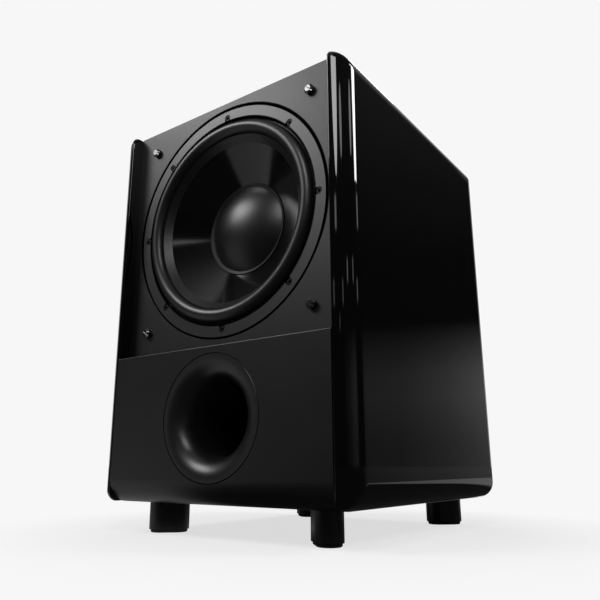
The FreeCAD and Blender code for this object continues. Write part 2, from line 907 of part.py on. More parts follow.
foot_pad = body("foot_pad")
pad(foot_pad, stadium(sketch(foot_pad, "XY_Plane", pad_height - foot_height),
                      foot_half_length - pad_inset, foot_half_width - pad_inset),
    pad_height, backwards=True)
dress(foot_pad, "Chamfer", 1.2, lambda line: line.BoundBox.ZMax < 0.01 - number(foot_height))
bore = sketch(foot_pad, "XY_Plane", pad_height - foot_height + 1)
circle(bore, 0, 0, foot_screw_head + 0.5)
pocket(foot_pad, bore, pad_height + 2)
pad_spots = []
for across, back, turn in foot_spots.values():
    pad_spots.append((across, back, 0, Rotation(Vector(0, 0, 1), turn)))
group("foot_pads", foot_pad, pad_spots)

foot_screw = socket_screw("foot_screw", foot_screw_head, foot_screw_shank, cell("foot_screw_head_height", 5),
                          foot_screw_length, cell("foot_socket_width", 5))
foot_screw_spots = []
for across, back, turn in foot_spots.values():
    foot_screw_spots.append((across, back, foot_bore - foot_height, Rotation()))
group("foot_screws", foot_screw, foot_screw_spots)

# ---------------------------------------------------------------- amplifier, Z runs out of the back


def back_board(label, thickness, back, corner_radius):
    """A flat sheet behind the cabinet's cut-out whose rear face stands at the given depth."""
    item = body(label)
    x = amp_width / 2
    profile = sketch(item, "XZ_Plane", -back)
    outline(profile, [
        (-x + corner_radius, amp_bottom),
        (x - corner_radius, amp_bottom, corner_radius, 1),
        (x, amp_bottom + corner_radius),
        (x, amp_top - corner_radius, corner_radius, 1),
        (x - corner_radius, amp_top),
        (-x + corner_radius, amp_top, corner_radius, 1),
        (-x, amp_top - corner_radius),
        (-x, amp_bottom + corner_radius, corner_radius, 1),
    ])
    pad(item, profile, thickness)
    return item


plate_corner = cell("plate_corner_radius", 6)
control_row = amp_top - cell("control_row_drop", 62)
volume_x = cell("volume_position", -62)
crossover_x = cell("crossover_position", -18)
phase_x = cell("phase_position", 26)
standby_x = cell("standby_position", 60)
light_x = cell("light_position", 88)
input_row = control_row - cell("input_row_drop", 46)
input_x = cell("input_position", -66)
input_step = cell("input_spacing", 18)
inlet_x = cell("inlet_position", 60)
inlet_z = amp_bottom + cell("inlet_rise", 56)
rocker_z = inlet_z + cell("rocker_rise", 48)
bushing = cell("bushing_radius", 3.6)
shaft = cell("shaft_radius", 3)
shaft_fit = cell("shaft_fit", 0.05)
hole_fit = cell("hole_fit", 0.3)
slot_width = cell("slider_slot_width", 5)
slot_height = cell("slider_slot_height", 10)
socket_body = cell("input_socket_radius", 4.8)
light_radius = cell("light_radius", 2.5)
inlet_width = cell("inlet_body_width", 27)
inlet_height = cell("inlet_body_height", 32)
rocker_width = cell("rocker_body_width", 13)
rocker_height = cell("rocker_body_height", 19)
toroid_x = cell("transformer_position", -50)
toroid_z = amp_bottom + cell("transformer_rise", 72)
toroid_bolt = cell("transformer_bolt_radius", 3)

plate = back_board("amplifier_plate", amp_plate, plate_face, plate_corner)
cuts = sketch(plate, "XZ_Plane", -plate_back + 1)
for across in (volume_x, crossover_x):
    circle(cuts, across, control_row, bushing + hole_fit)
for across in (phase_x, standby_x):
    rectangle(cuts, across - slot_width / 2, control_row - slot_height / 2,
              across + slot_width / 2, control_row + slot_height / 2)
for step in (0, 1):
    circle(cuts, input_x + input_step * step, input_row, socket_body + hole_fit)
circle(cuts, light_x, control_row, light_radius + 0.1)
circle(cuts, toroid_x, toroid_z, toroid_bolt + hole_fit)
for centre, half_width, half_height in (
        (inlet_z, inlet_width / 2 + hole_fit, inlet_height / 2 + hole_fit),
        (rocker_z, rocker_width / 2 + hole_fit, rocker_height / 2 + hole_fit)):
    rectangle(cuts, inlet_x - half_width, centre - half_height, inlet_x + half_width, centre + half_height)
for across, up in plate_screw_spots:
    circle(cuts, across, up, plate_screw + hole_fit)
pocket(plate, cuts, amp_plate + 2)
keep("amplifier_plate", place(plate))

foam = back_board("amplifier_gasket", amp_gasket, plate_back, plate_corner)
foam_cut = sketch(foam, "XZ_Plane", -depth + 1)
rectangle(foam_cut, -cutout_half, amp_bottom + amp_margin, cutout_half, amp_top - amp_margin)
for across, up in plate_screw_spots:
    circle(foam_cut, across, up, plate_screw + hole_fit)
pocket(foam, foam_cut, amp_gasket + 2)
keep("amplifier_gasket", place(foam))

plate_head = cell("plate_screw_head_radius", 4)
plate_bolt = turned("plate_bolt", [
    (0, -plate_screw_length),
    (plate_screw - 1, -plate_screw_length),
    (plate_screw, -plate_screw_length + 2),
    (plate_screw, 0),
    (plate_head, 0),
    (plate_head, 1.2),
    (plate_head - 1.6, 2.6),
    (0, 2.6),
])
drive = sketch(plate_bolt, "XY_Plane", 4)
outline(drive, [
    (0.5, 0.5), (0.5, 2), (-0.5, 2), (-0.5, 0.5), (-2, 0.5), (-2, -0.5),
    (-0.5, -0.5), (-0.5, -2), (0.5, -2), (0.5, -0.5), (2, -0.5), (2, 0.5),
])
pocket(plate_bolt, drive, 3)
group("amplifier_screws", plate_bolt,
      [(across, plate_face, up, INWARD) for across, up in plate_screw_spots])

board_gap = cell("circuit_board_gap", 12)
board_sheet = cell("circuit_board_thickness", 1.6)
circuit_half = cell("circuit_half_width", 96)
circuit_low = toroid_z + cell("circuit_rise", 64)
circuit_tall = amp_top - amp_margin - cell("circuit_top_clearance", 24) - circuit_low
standoff = cell("standoff_radius", 3)
circuit_front = plate_back - board_gap - board_sheet
keep("circuit_board", box("circuit", -circuit_half, circuit_front, circuit_low,
                          circuit_half * 2, board_sheet, circuit_tall))
spacer = turned("spacer", [
    (0, 0),
    (standoff, 0),
    (standoff, board_gap),
    (0, board_gap),
])
spacer_spots = []
for hand in (-1, 1):
    for up in (circuit_low + 6, circuit_low + circuit_tall - 6):
        spacer_spots.append(((circuit_half - 6) * hand, circuit_front + board_sheet, up, INWARD))
group("board_spacers", spacer, spacer_spots)

can_radius = cell("capacitor_radius", 15)
can_length = cell("capacitor_length", 40)
can_x = cell("capacitor_position", 34)
can_rise = cell("capacitor_rise", 46)
can = turned("capacitor", [
    (0, -can_length),
    (can_radius - 1.5, -can_length),
    (can_radius, -can_length + 1.5),
    (can_radius, -5),
    (can_radius - 1, -4.2),
    (can_radius, -3.4),
    (can_radius, 0),
    (0, 0),
])
group("filter_capacitors", can,
      [(can_x * step, circuit_front, circuit_low + can_rise, INWARD) for step in (1, 2)])

sink_tall = cell("heat_sink_height", 16)
sink_base = cell("heat_sink_base", 6)
sink_reach = cell("heat_sink_reach", 34)
fin = cell("fin_thickness", 2.4)
fin_count = 16
sink_low = circuit_low + circuit_tall + 6
fin_step = (circuit_half * 2 - fin) / (fin_count - 1)
sink = body("heat_sink")
comb = [(circuit_half, plate_back), (-circuit_half, plate_back)]
for step in range(fin_count):
    left = fin_step * step - circuit_half
    if step:
        comb.append((left, plate_back - sink_base))
    comb.append((left, plate_back - sink_reach))
    comb.append((left + fin, plate_back - sink_reach))
    if step < fin_count - 1:
        comb.append((left + fin, plate_back - sink_base))
pad(sink, outline(sketch(sink, "XY_Plane", sink_low), comb), sink_tall)
keep("heat_sink", place(sink))

transistor_depth = cell("transistor_length", 20)
transistor_width = cell("transistor_width", 16)
transistor_thick = cell("transistor_thickness", 5)
transistor_inset = cell("transistor_inset", 27)
transistor_x = cell("transistor_position", 32)
transistor_step = cell("transistor_spacing", 40)
transistor = box("transistor", 0, 0, 0, transistor_width, transistor_depth, transistor_thick)
transistor_spots = []
for hand in (-1, 1):
    for step in (0, 1):
        left = (transistor_x + transistor_step * step) * hand - transistor_width / 2
        transistor_spots.append((left, plate_back - transistor_inset,
                                 sink_low - transistor_thick - 0.2, Rotation()))
group("power_transistors", transistor, transistor_spots)

toroid_radius = cell("transformer_radius", 44)
toroid_length = cell("transformer_length", 36)
toroid_bore = cell("transformer_bore_radius", 12)
toroid = turned("mains_transformer", [
    (toroid_bore + 4, -toroid_length),
    (toroid_radius - 8, -toroid_length, 8, 1),
    (toroid_radius, -toroid_length + 8),
    (toroid_radius, -8, 8, 1),
    (toroid_radius - 8, 0),
    (toroid_bore + 4, 0, 4, 1),
    (toroid_bore, -4),
    (toroid_bore, -toroid_length + 4, 4, 1),
])
keep("mains_transformer", place(toroid, toroid_x, plate_back, toroid_z, INWARD))
clamp_radius = cell("clamp_radius", 30)
clamp = turned("transformer_clamp", [
    (toroid_bolt, -toroid_length + 1),
    (toroid_bolt, -toroid_length - 6.4),
    (toroid_bolt + 3, -toroid_length - 6.4),
    (toroid_bolt + 3, -toroid_length - 1.2),
    (toroid_bore + 3, -toroid_length - 2.2),
    (clamp_radius, -toroid_length - 2.2),
    (clamp_radius, -toroid_length - 0.2),
    (toroid_bore + 3, -toroid_length - 0.2),
])
keep("transformer_clamp", place(clamp, toroid_x, plate_back, toroid_z, INWARD))
clamp_bolt = turned("transformer_bolt", [
    (0, -toroid_length - 9),
    (toroid_bolt - 0.6, -toroid_length - 9),
    (toroid_bolt, -toroid_length - 8),
    (toroid_bolt, amp_plate),
    (6, amp_plate),
    (6, amp_plate + 1.4),
    (4, amp_plate + 3.2),
    (0, amp_plate + 3.2),
])
keep("transformer_bolt", place(clamp_bolt, toroid_x, plate_back, toroid_z, INWARD))

# Rotary controls
control_radius = cell("control_radius", 8.2)
control_length = cell("control_length", 10)
bushing_reach = cell("bushing_reach", 3.2)
shaft_reach = knob_gap + knob_length - 3
for label, across in (("volume", volume_x), ("crossover", crossover_x)):
    control = turned(label + "_control", [
        (shaft + shaft_fit, -control_length + 2),
        (0, -control_length + 2),
        (0, -control_length),
        (control_radius - 1, -control_length),
        (control_radius, -control_length + 1),
        (control_radius, 0),
        (bushing, 0),
        (bushing, amp_plate + bushing_reach),
        (shaft + shaft_fit, amp_plate + bushing_reach),
    ])
    keep(label + "_control", place(control, across, plate_back, control_row, INWARD))
    spindle = turned(label + "_shaft", [
        (0, -control_length + 2.2),
        (shaft, -control_length + 2.2),
        (shaft, amp_plate + shaft_reach - 0.6),
        (shaft - 0.6, amp_plate + shaft_reach),
        (0, amp_plate + shaft_reach),
    ])
    keep(label + "_shaft", place(spindle, across, plate_back, control_row, INWARD))
    knob = turned(label + "_knob", [
        (shaft, knob_length - 3),
        (0, knob_length - 3),
        (0, knob_length),
        (knob_radius - 1.6, knob_length),
        (knob_radius - 0.8, knob_length - 0.8),
        (knob_radius, 1.5),
        (knob_radius, 0),
        (bushing + 1, 0),
        (bushing + 1, bushing_reach + 0.4),
        (shaft, bushing_reach + 0.4),
    ])
    flute = sketch(knob, "XY_Plane", 2.5)
    circle(flute, knob_radius + 0.7, 0, 1.3)
    polar(knob, pocket(knob, flute, knob_length, backwards=True), 15)
    pointer = sketch(knob, "XY_Plane", knob_length + 1)
    rectangle(pointer, -0.6, -knob_radius, 0.6, -2.5)
    pocket(knob, pointer, 1.8)
    keep(label + "_knob", place(knob, across, plate_face + knob_gap, control_row, INWARD))

# Slide switches
slider_travel = cell("slider_travel", 4)
switch_deep = cell("slide_switch_depth", 8)
nub = cell("slider_nub", 4.2)
housing = cut("slide_switch", box("slide_switch_can", -4.5, -switch_deep, -8, 9, switch_deep, 16),
              [box("slide_switch_cavity", -3.2, -4, -6.2, 6.4, 5, 12.4)])
for tool in (housing.Base, housing.Tool):
    tool.Placement = Placement(tool.Placement.Base - Vector(0, number(front_y), number(foot_height)), Rotation())
    for path in ("x", "y", "z"):
        tool.setExpression("Placement.Base." + path, None)
group("slide_switch_bodies", housing,
      [(across, plate_back, control_row, Rotation()) for across in (phase_x, standby_x)])
for label, across in (("phase_slider", phase_x), ("standby_slider", standby_x)):
    low = control_row - slider_travel / 2
    foot = box(label + "_foot", across - 2.9, plate_back - 3.6, low - 3.4, 5.8, 3, 6.8)
    stem = box(label + "_stem", across - nub / 2, plate_back - 1, low - nub / 2,
               nub, amp_plate + 3.2, nub)
    keep(label, join(label, [foot, stem]))

# Line inputs and status light
jack_outer = cell("jack_radius", 4.15)
jack_length = cell("jack_length", 9.5)
jack_bore = cell("jack_bore_radius", 1.7)
jack = turned("line_input", [
    (0, -9),
    (socket_body - 0.8, -9),
    (socket_body, -8),
    (socket_body, amp_plate),
    (socket_body + 1.4, amp_plate),
    (socket_body + 1.4, amp_plate + 1.5),
    (jack_outer, amp_plate + 1.5),
    (jack_outer, amp_plate + 1 + jack_length),
    (jack_outer - 0.5, amp_plate + 1.5 + jack_length),
    (jack_bore, amp_plate + 1.5 + jack_length),
    (jack_bore, amp_plate + 2.5),
    (0, amp_plate + 2.5),
])
group("line_input_sockets", jack,
      [(input_x + input_step * step, plate_back, input_row, INWARD) for step in (0, 1)])
lamp = turned("status_light", [
    (0, -6),
    (light_radius, -6),
    (light_radius, amp_plate),
    (light_radius - 0.6, amp_plate + 1.1),
    (0, amp_plate + 1.6),
])
keep("status_light", place(lamp, light_x, plate_back, control_row, INWARD))

# Mains inlet with its fuse drawer
inlet_deep = cell("inlet_depth", 26)
inlet_lip = cell("inlet_lip", 2.5)
inlet_rim = cell("inlet_rim", 3)
cavity_width = cell("inlet_cavity_width", 24)
cavity_height = cell("inlet_cavity_height", 16.4)
cavity_deep = cell("inlet_cavity_depth", 17)
drawer_width = cell("fuse_drawer_width", 21)
drawer_height = cell("fuse_drawer_height", 7)
drawer_deep = cell("fuse_drawer_depth", 20)
socket_z = inlet_z + 5.5
drawer_z = inlet_z - 9.8
lip_face = plate_face + inlet_lip
inlet = body("mains_inlet")
pad(inlet, rectangle(sketch(inlet, "XZ_Plane", -lip_face),
                     inlet_x - inlet_width / 2 - inlet_rim, inlet_z - inlet_height / 2 - inlet_rim,
                     inlet_x + inlet_width / 2 + inlet_rim, inlet_z + inlet_height / 2 + inlet_rim),
    inlet_lip)
pad(inlet, rectangle(sketch(inlet, "XZ_Plane", -lip_face),
                     inlet_x - inlet_width / 2, inlet_z - inlet_height / 2,
                     inlet_x + inlet_width / 2, inlet_z + inlet_height / 2),
    inlet_deep + amp_plate + inlet_lip)
mains_cavity = sketch(inlet, "XZ_Plane", -lip_face - 1)
outline(mains_cavity, [
    (inlet_x - cavity_width / 2, socket_z - cavity_height / 2),
    (inlet_x + cavity_width / 2, socket_z - cavity_height / 2),
    (inlet_x + cavity_width / 2, socket_z + cavity_height / 2 - 5),
    (inlet_x + cavity_width / 2 - 5, socket_z + cavity_height / 2),
    (inlet_x - cavity_width / 2 + 5, socket_z + cavity_height / 2),
    (inlet_x - cavity_width / 2, socket_z + cavity_height / 2 - 5),
])
pocket(inlet, mains_cavity, cavity_deep + 1, backwards=True)
drawer_cavity = sketch(inlet, "XZ_Plane", -lip_face - 1)
rectangle(drawer_cavity, inlet_x - drawer_width / 2 - hole_fit, drawer_z - drawer_height / 2 - hole_fit,
          inlet_x + drawer_width / 2 + hole_fit, drawer_z + drawer_height / 2 + hole_fit)
pocket(inlet, drawer_cavity, drawer_deep + 2, backwards=True)
keep("mains_inlet", place(inlet))

pin_deep = cell("pin_length", 11.5)
pin_step = cell("pin_spacing", 7)
pins = []
for across, up, wide in ((-pin_step, -2, 2), (pin_step, -2, 2), (0, 2, 4)):
    tall = 6 - wide
    pins.append(box("inlet_pin", inlet_x + across - wide / 2, lip_face - cavity_deep,
                    socket_z + up - tall / 2, wide, pin_deep, tall))
pin_group = doc.addObject("Part::Compound", "pins")
pin_group.Links = pins
keep("inlet_pins", pin_group)

drawer = body("fuse_drawer")
drawer_face = rectangle(sketch(drawer, "XZ_Plane", -lip_face),
                        inlet_x - drawer_width / 2, drawer_z - drawer_height / 2,
                        inlet_x + drawer_width / 2, drawer_z + drawer_height / 2)
pad(drawer, drawer_face, drawer_deep)
tray = sketch(drawer, "XY_Plane", drawer_z + drawer_height)
rectangle(tray, inlet_x - drawer_width / 2 + 2.5, lip_face - drawer_deep + 2,
          inlet_x + drawer_width / 2 - 2.5, lip_face - 4)
pocket(drawer, tray, drawer_height * 1.5 - 1.5)
catch = sketch(drawer, "XZ_Plane", -lip_face - 1)
rectangle(catch, inlet_x - 4, drawer_z + drawer_height / 2 - 1.5, inlet_x + 4, drawer_z + drawer_height)
pocket(drawer, catch, 2.5, backwards=True)
keep("fuse_drawer", place(drawer))

# Mains rocker
rocker_lip = cell("rocker_lip", 2)
rocker_deep = cell("rocker_depth", 18)
rocker_wall = cell("rocker_wall", 1.2)
rocker_tilt = cell("rocker_tilt", 9)
rocker_face = plate_face + rocker_lip
frame = body("rocker_frame")
pad(frame, rectangle(sketch(frame, "XZ_Plane", -rocker_face),
                     inlet_x - rocker_width / 2 - 1.5, rocker_z - rocker_height / 2 - 1.5,
                     inlet_x + rocker_width / 2 + 1.5, rocker_z + rocker_height / 2 + 1.5),
    rocker_lip)
pad(frame, rectangle(sketch(frame, "XZ_Plane", -rocker_face),
                     inlet_x - rocker_width / 2, rocker_z - rocker_height / 2,
                     inlet_x + rocker_width / 2, rocker_z + rocker_height / 2),
    rocker_deep + amp_plate + rocker_lip)
well = sketch(frame, "XZ_Plane", -rocker_face - 1)
rectangle(well, inlet_x - rocker_width / 2 + rocker_wall, rocker_z - rocker_height / 2 + rocker_wall,
          inlet_x + rocker_width / 2 - rocker_wall, rocker_z + rocker_height / 2 - rocker_wall)
pocket(frame, well, 11, backwards=True)
keep("rocker_frame", place(frame))
rocker = body("mains_rocker")
rocker_end = rocker_height / 2 - rocker_wall - 0.9
rocker_side = rocker_width / 2 - rocker_wall - 0.4
pad(rocker, outline(sketch(rocker, "YZ_Plane"), [
    (-5, -4),
    (0.2, -rocker_end),
    (1.2, -rocker_end),
    (3.4, 0),
    (1.2, rocker_end),
    (0.2, rocker_end),
    (-5, 4),
]), rocker_side * 2, "Symmetric")
rocker_pivot = rocker_face - 1.5
tilt = Rotation(Vector(1, 0, 0), number(rocker_tilt))
keep("mains_rocker", place(rocker, inlet_x, rocker_pivot, rocker_z, tilt))
rocker.setExpression("Placement.Rotation.Angle", rocker_tilt.formula)

# Wires from the amplifier board to the driver
wire_radius = cell("wire_radius", 1.1)
wire_start = recess + spider_depth + 14
wire_low = driver_height - terminal_drop - 5.4
wire_high = circuit_low + 14
bend = cell("wire_bend", 25)
wires = []
for across in (-6.5, 6.5):
    wire = body("speaker_wire")
    route = sketch(wire, "YZ_Plane", across)
    rise = circuit_front - 45
    stops = [
        (wire_start, wire_low),
        (rise - bend, wire_low, bend, 1),
        (rise, wire_low + bend),
        (rise, wire_high - bend, bend, -1),
        (rise + bend, wire_high),
        (circuit_front, wire_high),
    ]
    path_through(route, stops)
    section = sketch(wire, "XZ_Plane", -wire_start)
    circle(section, across, wire_low, wire_radius)
    pipe = wire.newObject("PartDesign::AdditivePipe", "speaker_wire_pipe")
    pipe.Profile = section
    pipe.Spine = route
    wires.append(place(wire))
wire_group = doc.addObject("Part::Compound", "wires")
wire_group.Links = wires
keep("speaker_wires", wire_group)

# ---------------------------------------------------------------- checks and STEP files

doc.recompute()
for item in doc.Objects:
    if "Invalid" in item.State or "Error" in item.State:
        raise RuntimeError(f"{item.Label} did not build: {item.State}")
os.makedirs("parts", exist_ok=True)
for label, item in pieces.items():
    shape = item.Shape
    if shape.isNull() or not shape.isValid() or not shape.Solids:
        raise RuntimeError(f"{label} is not a valid solid")
    item.Shape.exportStep(f"parts/{label}.step")
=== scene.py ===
import json
from math import cos, pi, radians, sin, tan

import bpy
from mathutils import Euler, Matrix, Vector

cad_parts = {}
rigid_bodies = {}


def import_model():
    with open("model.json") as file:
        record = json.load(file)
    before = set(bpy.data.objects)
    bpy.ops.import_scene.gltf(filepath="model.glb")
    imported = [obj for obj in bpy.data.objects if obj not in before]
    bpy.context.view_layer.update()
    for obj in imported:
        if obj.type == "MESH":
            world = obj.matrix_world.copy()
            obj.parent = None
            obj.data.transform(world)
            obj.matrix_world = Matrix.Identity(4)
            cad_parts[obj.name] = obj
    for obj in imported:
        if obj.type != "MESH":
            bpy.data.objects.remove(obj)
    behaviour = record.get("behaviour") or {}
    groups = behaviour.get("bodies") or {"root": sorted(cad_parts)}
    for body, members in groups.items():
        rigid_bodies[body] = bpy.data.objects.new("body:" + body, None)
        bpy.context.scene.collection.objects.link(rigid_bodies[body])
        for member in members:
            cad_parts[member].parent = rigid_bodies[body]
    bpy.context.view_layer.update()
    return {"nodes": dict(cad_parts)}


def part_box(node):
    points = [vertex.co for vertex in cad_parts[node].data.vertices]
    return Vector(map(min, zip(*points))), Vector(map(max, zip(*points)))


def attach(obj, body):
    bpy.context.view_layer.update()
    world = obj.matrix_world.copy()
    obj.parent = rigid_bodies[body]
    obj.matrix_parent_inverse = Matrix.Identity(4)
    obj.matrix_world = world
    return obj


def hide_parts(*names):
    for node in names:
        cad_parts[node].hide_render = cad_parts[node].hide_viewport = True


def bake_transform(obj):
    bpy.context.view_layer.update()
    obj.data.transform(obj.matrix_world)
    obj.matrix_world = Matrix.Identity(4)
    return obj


for leftover in list(bpy.data.objects):
    bpy.data.objects.remove(leftover)
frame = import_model()

DEGREES = 180 / pi  # in one radian

# ---------------------------------------------------------------- node trees


class Signal:
    """A number in a node tree; sums, products and powers add their own Math nodes."""

    def __init__(self, network, socket):
        self.network = network
        self.socket = socket

    def __add__(self, other):
        return self.network.maths("ADD", self, other)

    def __radd__(self, other):
        return self.network.maths("ADD", other, self)

    def __sub__(self, other):
        return self.network.maths("SUBTRACT", self, other)

    def __rsub__(self, other):
        return self.network.maths("SUBTRACT", other, self)

    def __mul__(self, other):
        return self.network.maths("MULTIPLY", self, other)

    def __rmul__(self, other):
        return self.network.maths("MULTIPLY", other, self)

    def __truediv__(self, other):
        return self.network.maths("DIVIDE", self, other)

    def __rtruediv__(self, other):
        return self.network.maths("DIVIDE", other, self)

    def __pow__(self, other):
        return self.network.maths("POWER", self, other)

    def __mod__(self, other):
        return self.network.maths("FLOORED_MODULO", self, other)

    def __abs__(self):
        return self.network.maths("ABSOLUTE", self)


class Network:
    """A node tree that is written as a formula."""

    def __init__(self, tree):
        self.tree = tree

    def add(self, kind, settings=None, inputs=None, output=0):
        """Adds a node: its settings first, then the values or links of its sockets."""
        node = self.tree.nodes.new(kind)
        for name, value in (settings or {}).items():
            if name == "stops":
                spread_stops(node.color_ramp, value)
            else:
                setattr(node, name, value)
        for name, value in (inputs or {}).items():
            if isinstance(value, Signal):
                self.tree.links.new(value.socket, node.inputs[name])
            else:
                node.inputs[name].default_value = value
        return Signal(self, node.outputs[output])

    def also(self, signal, output):
        """Another output of the node that a signal comes from."""
        return Signal(self, signal.socket.node.outputs[output])

    def maths(self, operation, *terms):
        return self.add("ShaderNodeMath", {"operation": operation}, dict(enumerate(terms)))

    def vector_maths(self, operation, *terms):
        return self.add("ShaderNodeVectorMath", {"operation": operation}, dict(enumerate(terms)))

    def across(self, vector):
        """The X, Y and Z of a vector."""
        x = self.add("ShaderNodeSeparateXYZ", inputs={0: vector})
        return x, self.also(x, 1), self.also(x, 2)


def spread_stops(ramp, stops):
    """Sets a ramp to (position, level) stops."""
    while len(ramp.elements) < len(stops):
        ramp.elements.new(0.5)
    for element, (position, level) in zip(ramp.elements, stops):
        element.position = position
        element.color = (level, level, level, 1)


class Finish(Network):
    """The node tree of a material of the loudspeaker, or of the studio round it."""

    def __init__(self, owner):
        self.owner = owner
        owner.use_nodes = True
        super().__init__(owner.node_tree)
        self.tree.nodes.clear()

    def place(self):
        """The point on the piece, in metres from the loudspeaker's own origin."""
        return self.add("ShaderNodeTexCoord", output="Object")

    def rise(self, value, low, high, bottom=0.0, top=1.0):
        """Eases from bottom to top as the value goes from low to high, and stays there."""
        return self.add("ShaderNodeMapRange", {"interpolation_type": "SMOOTHSTEP"},
                        {"Value": value, "From Min": low, "From Max": high,
                         "To Min": bottom, "To Max": top})

    def graph(self, value, low, high, *stops):
        """Straight lines between (value, level) stops that lie between low and high."""
        share = (value - low) / (high - low)
        shares = [((position - low) / (high - low), level) for position, level in stops]
        return self.add("ShaderNodeValToRGB", {"stops": shares}, {"Fac": share})

    def band(self, value, low, high, soft):
        """One between low and high, and nothing outside them."""
        return (self.rise(value, low - soft / 2, low + soft / 2)
                * self.rise(value, high - soft / 2, high + soft / 2, 1.0, 0.0))

    def from_axis(self, height):
        """The distance from a level axis that runs front to back at this height."""
        x, y, z = self.across(self.place())
        return (x ** 2 + (z - height) ** 2) ** 0.5

    def noise(self, size, detail=2.0, rough=0.5, vector=None):
        """Cloudy variation whose patches are about this size in metres."""
        return self.add("ShaderNodeTexNoise", None,
                        {"Vector": vector or self.place(), "Scale": 1 / size, "Detail": detail,
                         "Roughness": rough})

    def cells(self, size, vector=None, **settings):
        """Distance from the middles of scattered cells of about this size in metres."""
        return self.add("ShaderNodeTexVoronoi", settings,
                        {"Vector": vector or self.place(), "Scale": 1 / size}, "Distance")

    def mixed(self, factor, first, second):
        """One colour fading into another."""
        return self.add("ShaderNodeMix", {"data_type": "RGBA"},
                        {"Factor": factor, 6: tint(first), 7: tint(second)}, 2)

    def toned(self, factor, colour, darker, lighter):
        """A colour that goes from a darker share of itself to a lighter one."""
        return self.mixed(factor, shade(colour, darker), shade(colour, lighter))

    def stretched(self, scale):
        """The place on the piece, scaled for a pattern that runs one way."""
        return self.add("ShaderNodeMapping", {"vector_type": "POINT"},
                        {"Vector": self.place(), "Scale": scale})

    def bumped(self, height, depth, strength=1.0):
        """A surface direction from a height that goes from 0 to depth metres."""
        return self.add("ShaderNodeBump", None,
                        {"Height": height, "Distance": depth, "Strength": strength})

    def surface(self, colour, rough, normal, metal=0.0, **values):
        """Ends the material in a Principled BSDF."""
        shader = self.add("ShaderNodeBsdfPrincipled", None,
                          {"Base Color": tint(colour), "Roughness": rough, "Normal": normal,
                           "Metallic": metal, **values})
        return self.ended(shader)

    def ended(self, shader, kind="ShaderNodeOutputMaterial"):
        """Ends the tree in its output, and gives back what it belongs to."""
        node = self.tree.nodes.new(kind)
        self.tree.links.new(shader.socket, node.inputs["Surface"])
        return self.owner


def tint(colour):
    """A colour with its alpha, or the Signal that carries one."""
    return colour if isinstance(colour, Signal) else (*colour, 1)


def grey(level):
    return (level, level, level)


def shade(colour, share):
    """A colour made darker or lighter."""
    return tuple(min(part * share, 1) for part in colour)


def finish(name):
    return Finish(bpy.data.materials.new(name))


# ---------------------------------------------------------------- finishes


def middle_of(name):
    """The middle of a node's box, in metres."""
    low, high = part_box(name)
    return [(a + b) / 2 for a, b in zip(low, high)]


TRIM_RING_WIDTH = 0.0161
DOME_CURVE = 0.1057  # the radius of the dust cap's ball shape

driver_z = middle_of("driver_trim_ring")[2]
ring_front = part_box("driver_trim_ring")[0][1]
ring_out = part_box("driver_trim_ring")[1][0]
ring_in = ring_out - TRIM_RING_WIDTH
cap_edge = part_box("dust_cap")[1][0]

finishes = {}


def slot_name(material):
    """The name that the frame and the finishes share, without a copy's number."""
    return material.name.split(".")[0]


def made(material):
    """Lists a finish under its slot's name."""
    finishes[slot_name(material)] = material


def lacquer(name, level, rough):
    """Deep black lacquer, polished, with the faintest orange peel left in it."""
    coat = finish(name)
    haze = coat.noise(0.09, 3)
    peel = coat.noise(0.006, 1)
    specks = coat.rise(coat.noise(0.0016, 0), 0.72, 0.8)
    return coat.surface(coat.toned(haze, grey(level), 0.8, 1.2), rough + haze * 0.014 + specks * 0.03,
                        coat.bumped(peel, 0.00001, 0.12))


def below_front(coat, depth):
    """One behind the front faces, on the walls of joints and notches, where shade is painted in."""
    return coat.rise(depth, ring_front + 0.0003, ring_front + 0.0009)


def ring_edge_shade(coat):
    """One on the walls of the trim ring and on the rolled edges that turn into them: the places where
    its shade is painted in black.
    """
    x, y, z = coat.across(coat.place())
    away = coat.from_axis(driver_z)
    face = (coat.rise(away, ring_in + 0.0012, ring_in + 0.0022)
            * coat.rise(away, ring_out - 0.0012, ring_out - 0.0004, 1.0, 0.0))
    return 1 - face * (1 - below_front(coat, y))


def baffle_edge_shade(coat):
    """One in the seat of the driver and on the edge round it, where shade is painted in black; the
    painted shade is wider above than below, where the edge catches light.
    """
    x, y, z = coat.across(coat.place())
    edge = coat.rise(z, driver_z - 0.10, driver_z - 0.03, ring_out + 0.0020, ring_out + 0.0038)
    face = coat.rise(coat.from_axis(driver_z) - edge, -0.0004, 0.0004)
    return 1 - face * (1 - below_front(coat, y))


def flank_shade(coat):
    """One on the flange of the surround and on the upper left of its outer flank: painted shade,
    which fades out below the middle and to the right, where the flank faces the light.
    """
    x, y, z = coat.across(coat.place())
    away = coat.from_axis(driver_z)
    shaded = coat.rise(z, driver_z - 0.06, driver_z) * coat.rise(x, 0.02, 0.07, 1.0, 0.0)
    flank = coat.rise(away, ring_in - 0.0108, ring_in - 0.0078) * shaded
    return coat.maths("MAXIMUM", flank, coat.rise(away, ring_in - 0.0026, ring_in - 0.0020))


def painted_shade(coat, where, colour, gloss):
    """A colour, a roughness and a metal share that go dead black in the places given, as painted
    shade.
    """
    if where is None:
        return colour, gloss, 0.0
    shade_mask = where(coat)
    return coat.mixed(shade_mask, colour, grey(0.0005)), gloss + shade_mask * 0.3, shade_mask


def sprayed_paint(name, level, rough, grain=0.0018, depth=0.0001, strength=0.5, shade_at=None):
    """Satin paint sprayed on in fine droplets."""
    paint = finish(name)
    droplets = paint.cells(grain, feature="SMOOTH_F1")
    fog = paint.noise(0.05, 4)
    height = 1 - droplets + paint.noise(grain * 0.7, 1) * 0.5
    # The colour goes black in the places that are given for painted shade.
    colour, gloss, metal = painted_shade(paint, shade_at, paint.toned(fog, grey(level), 0.88, 1.12),
                                  rough - 0.02 + fog * 0.04 + droplets * 0.03)
    return paint.surface(colour, gloss, paint.bumped(height, depth, strength), metal)


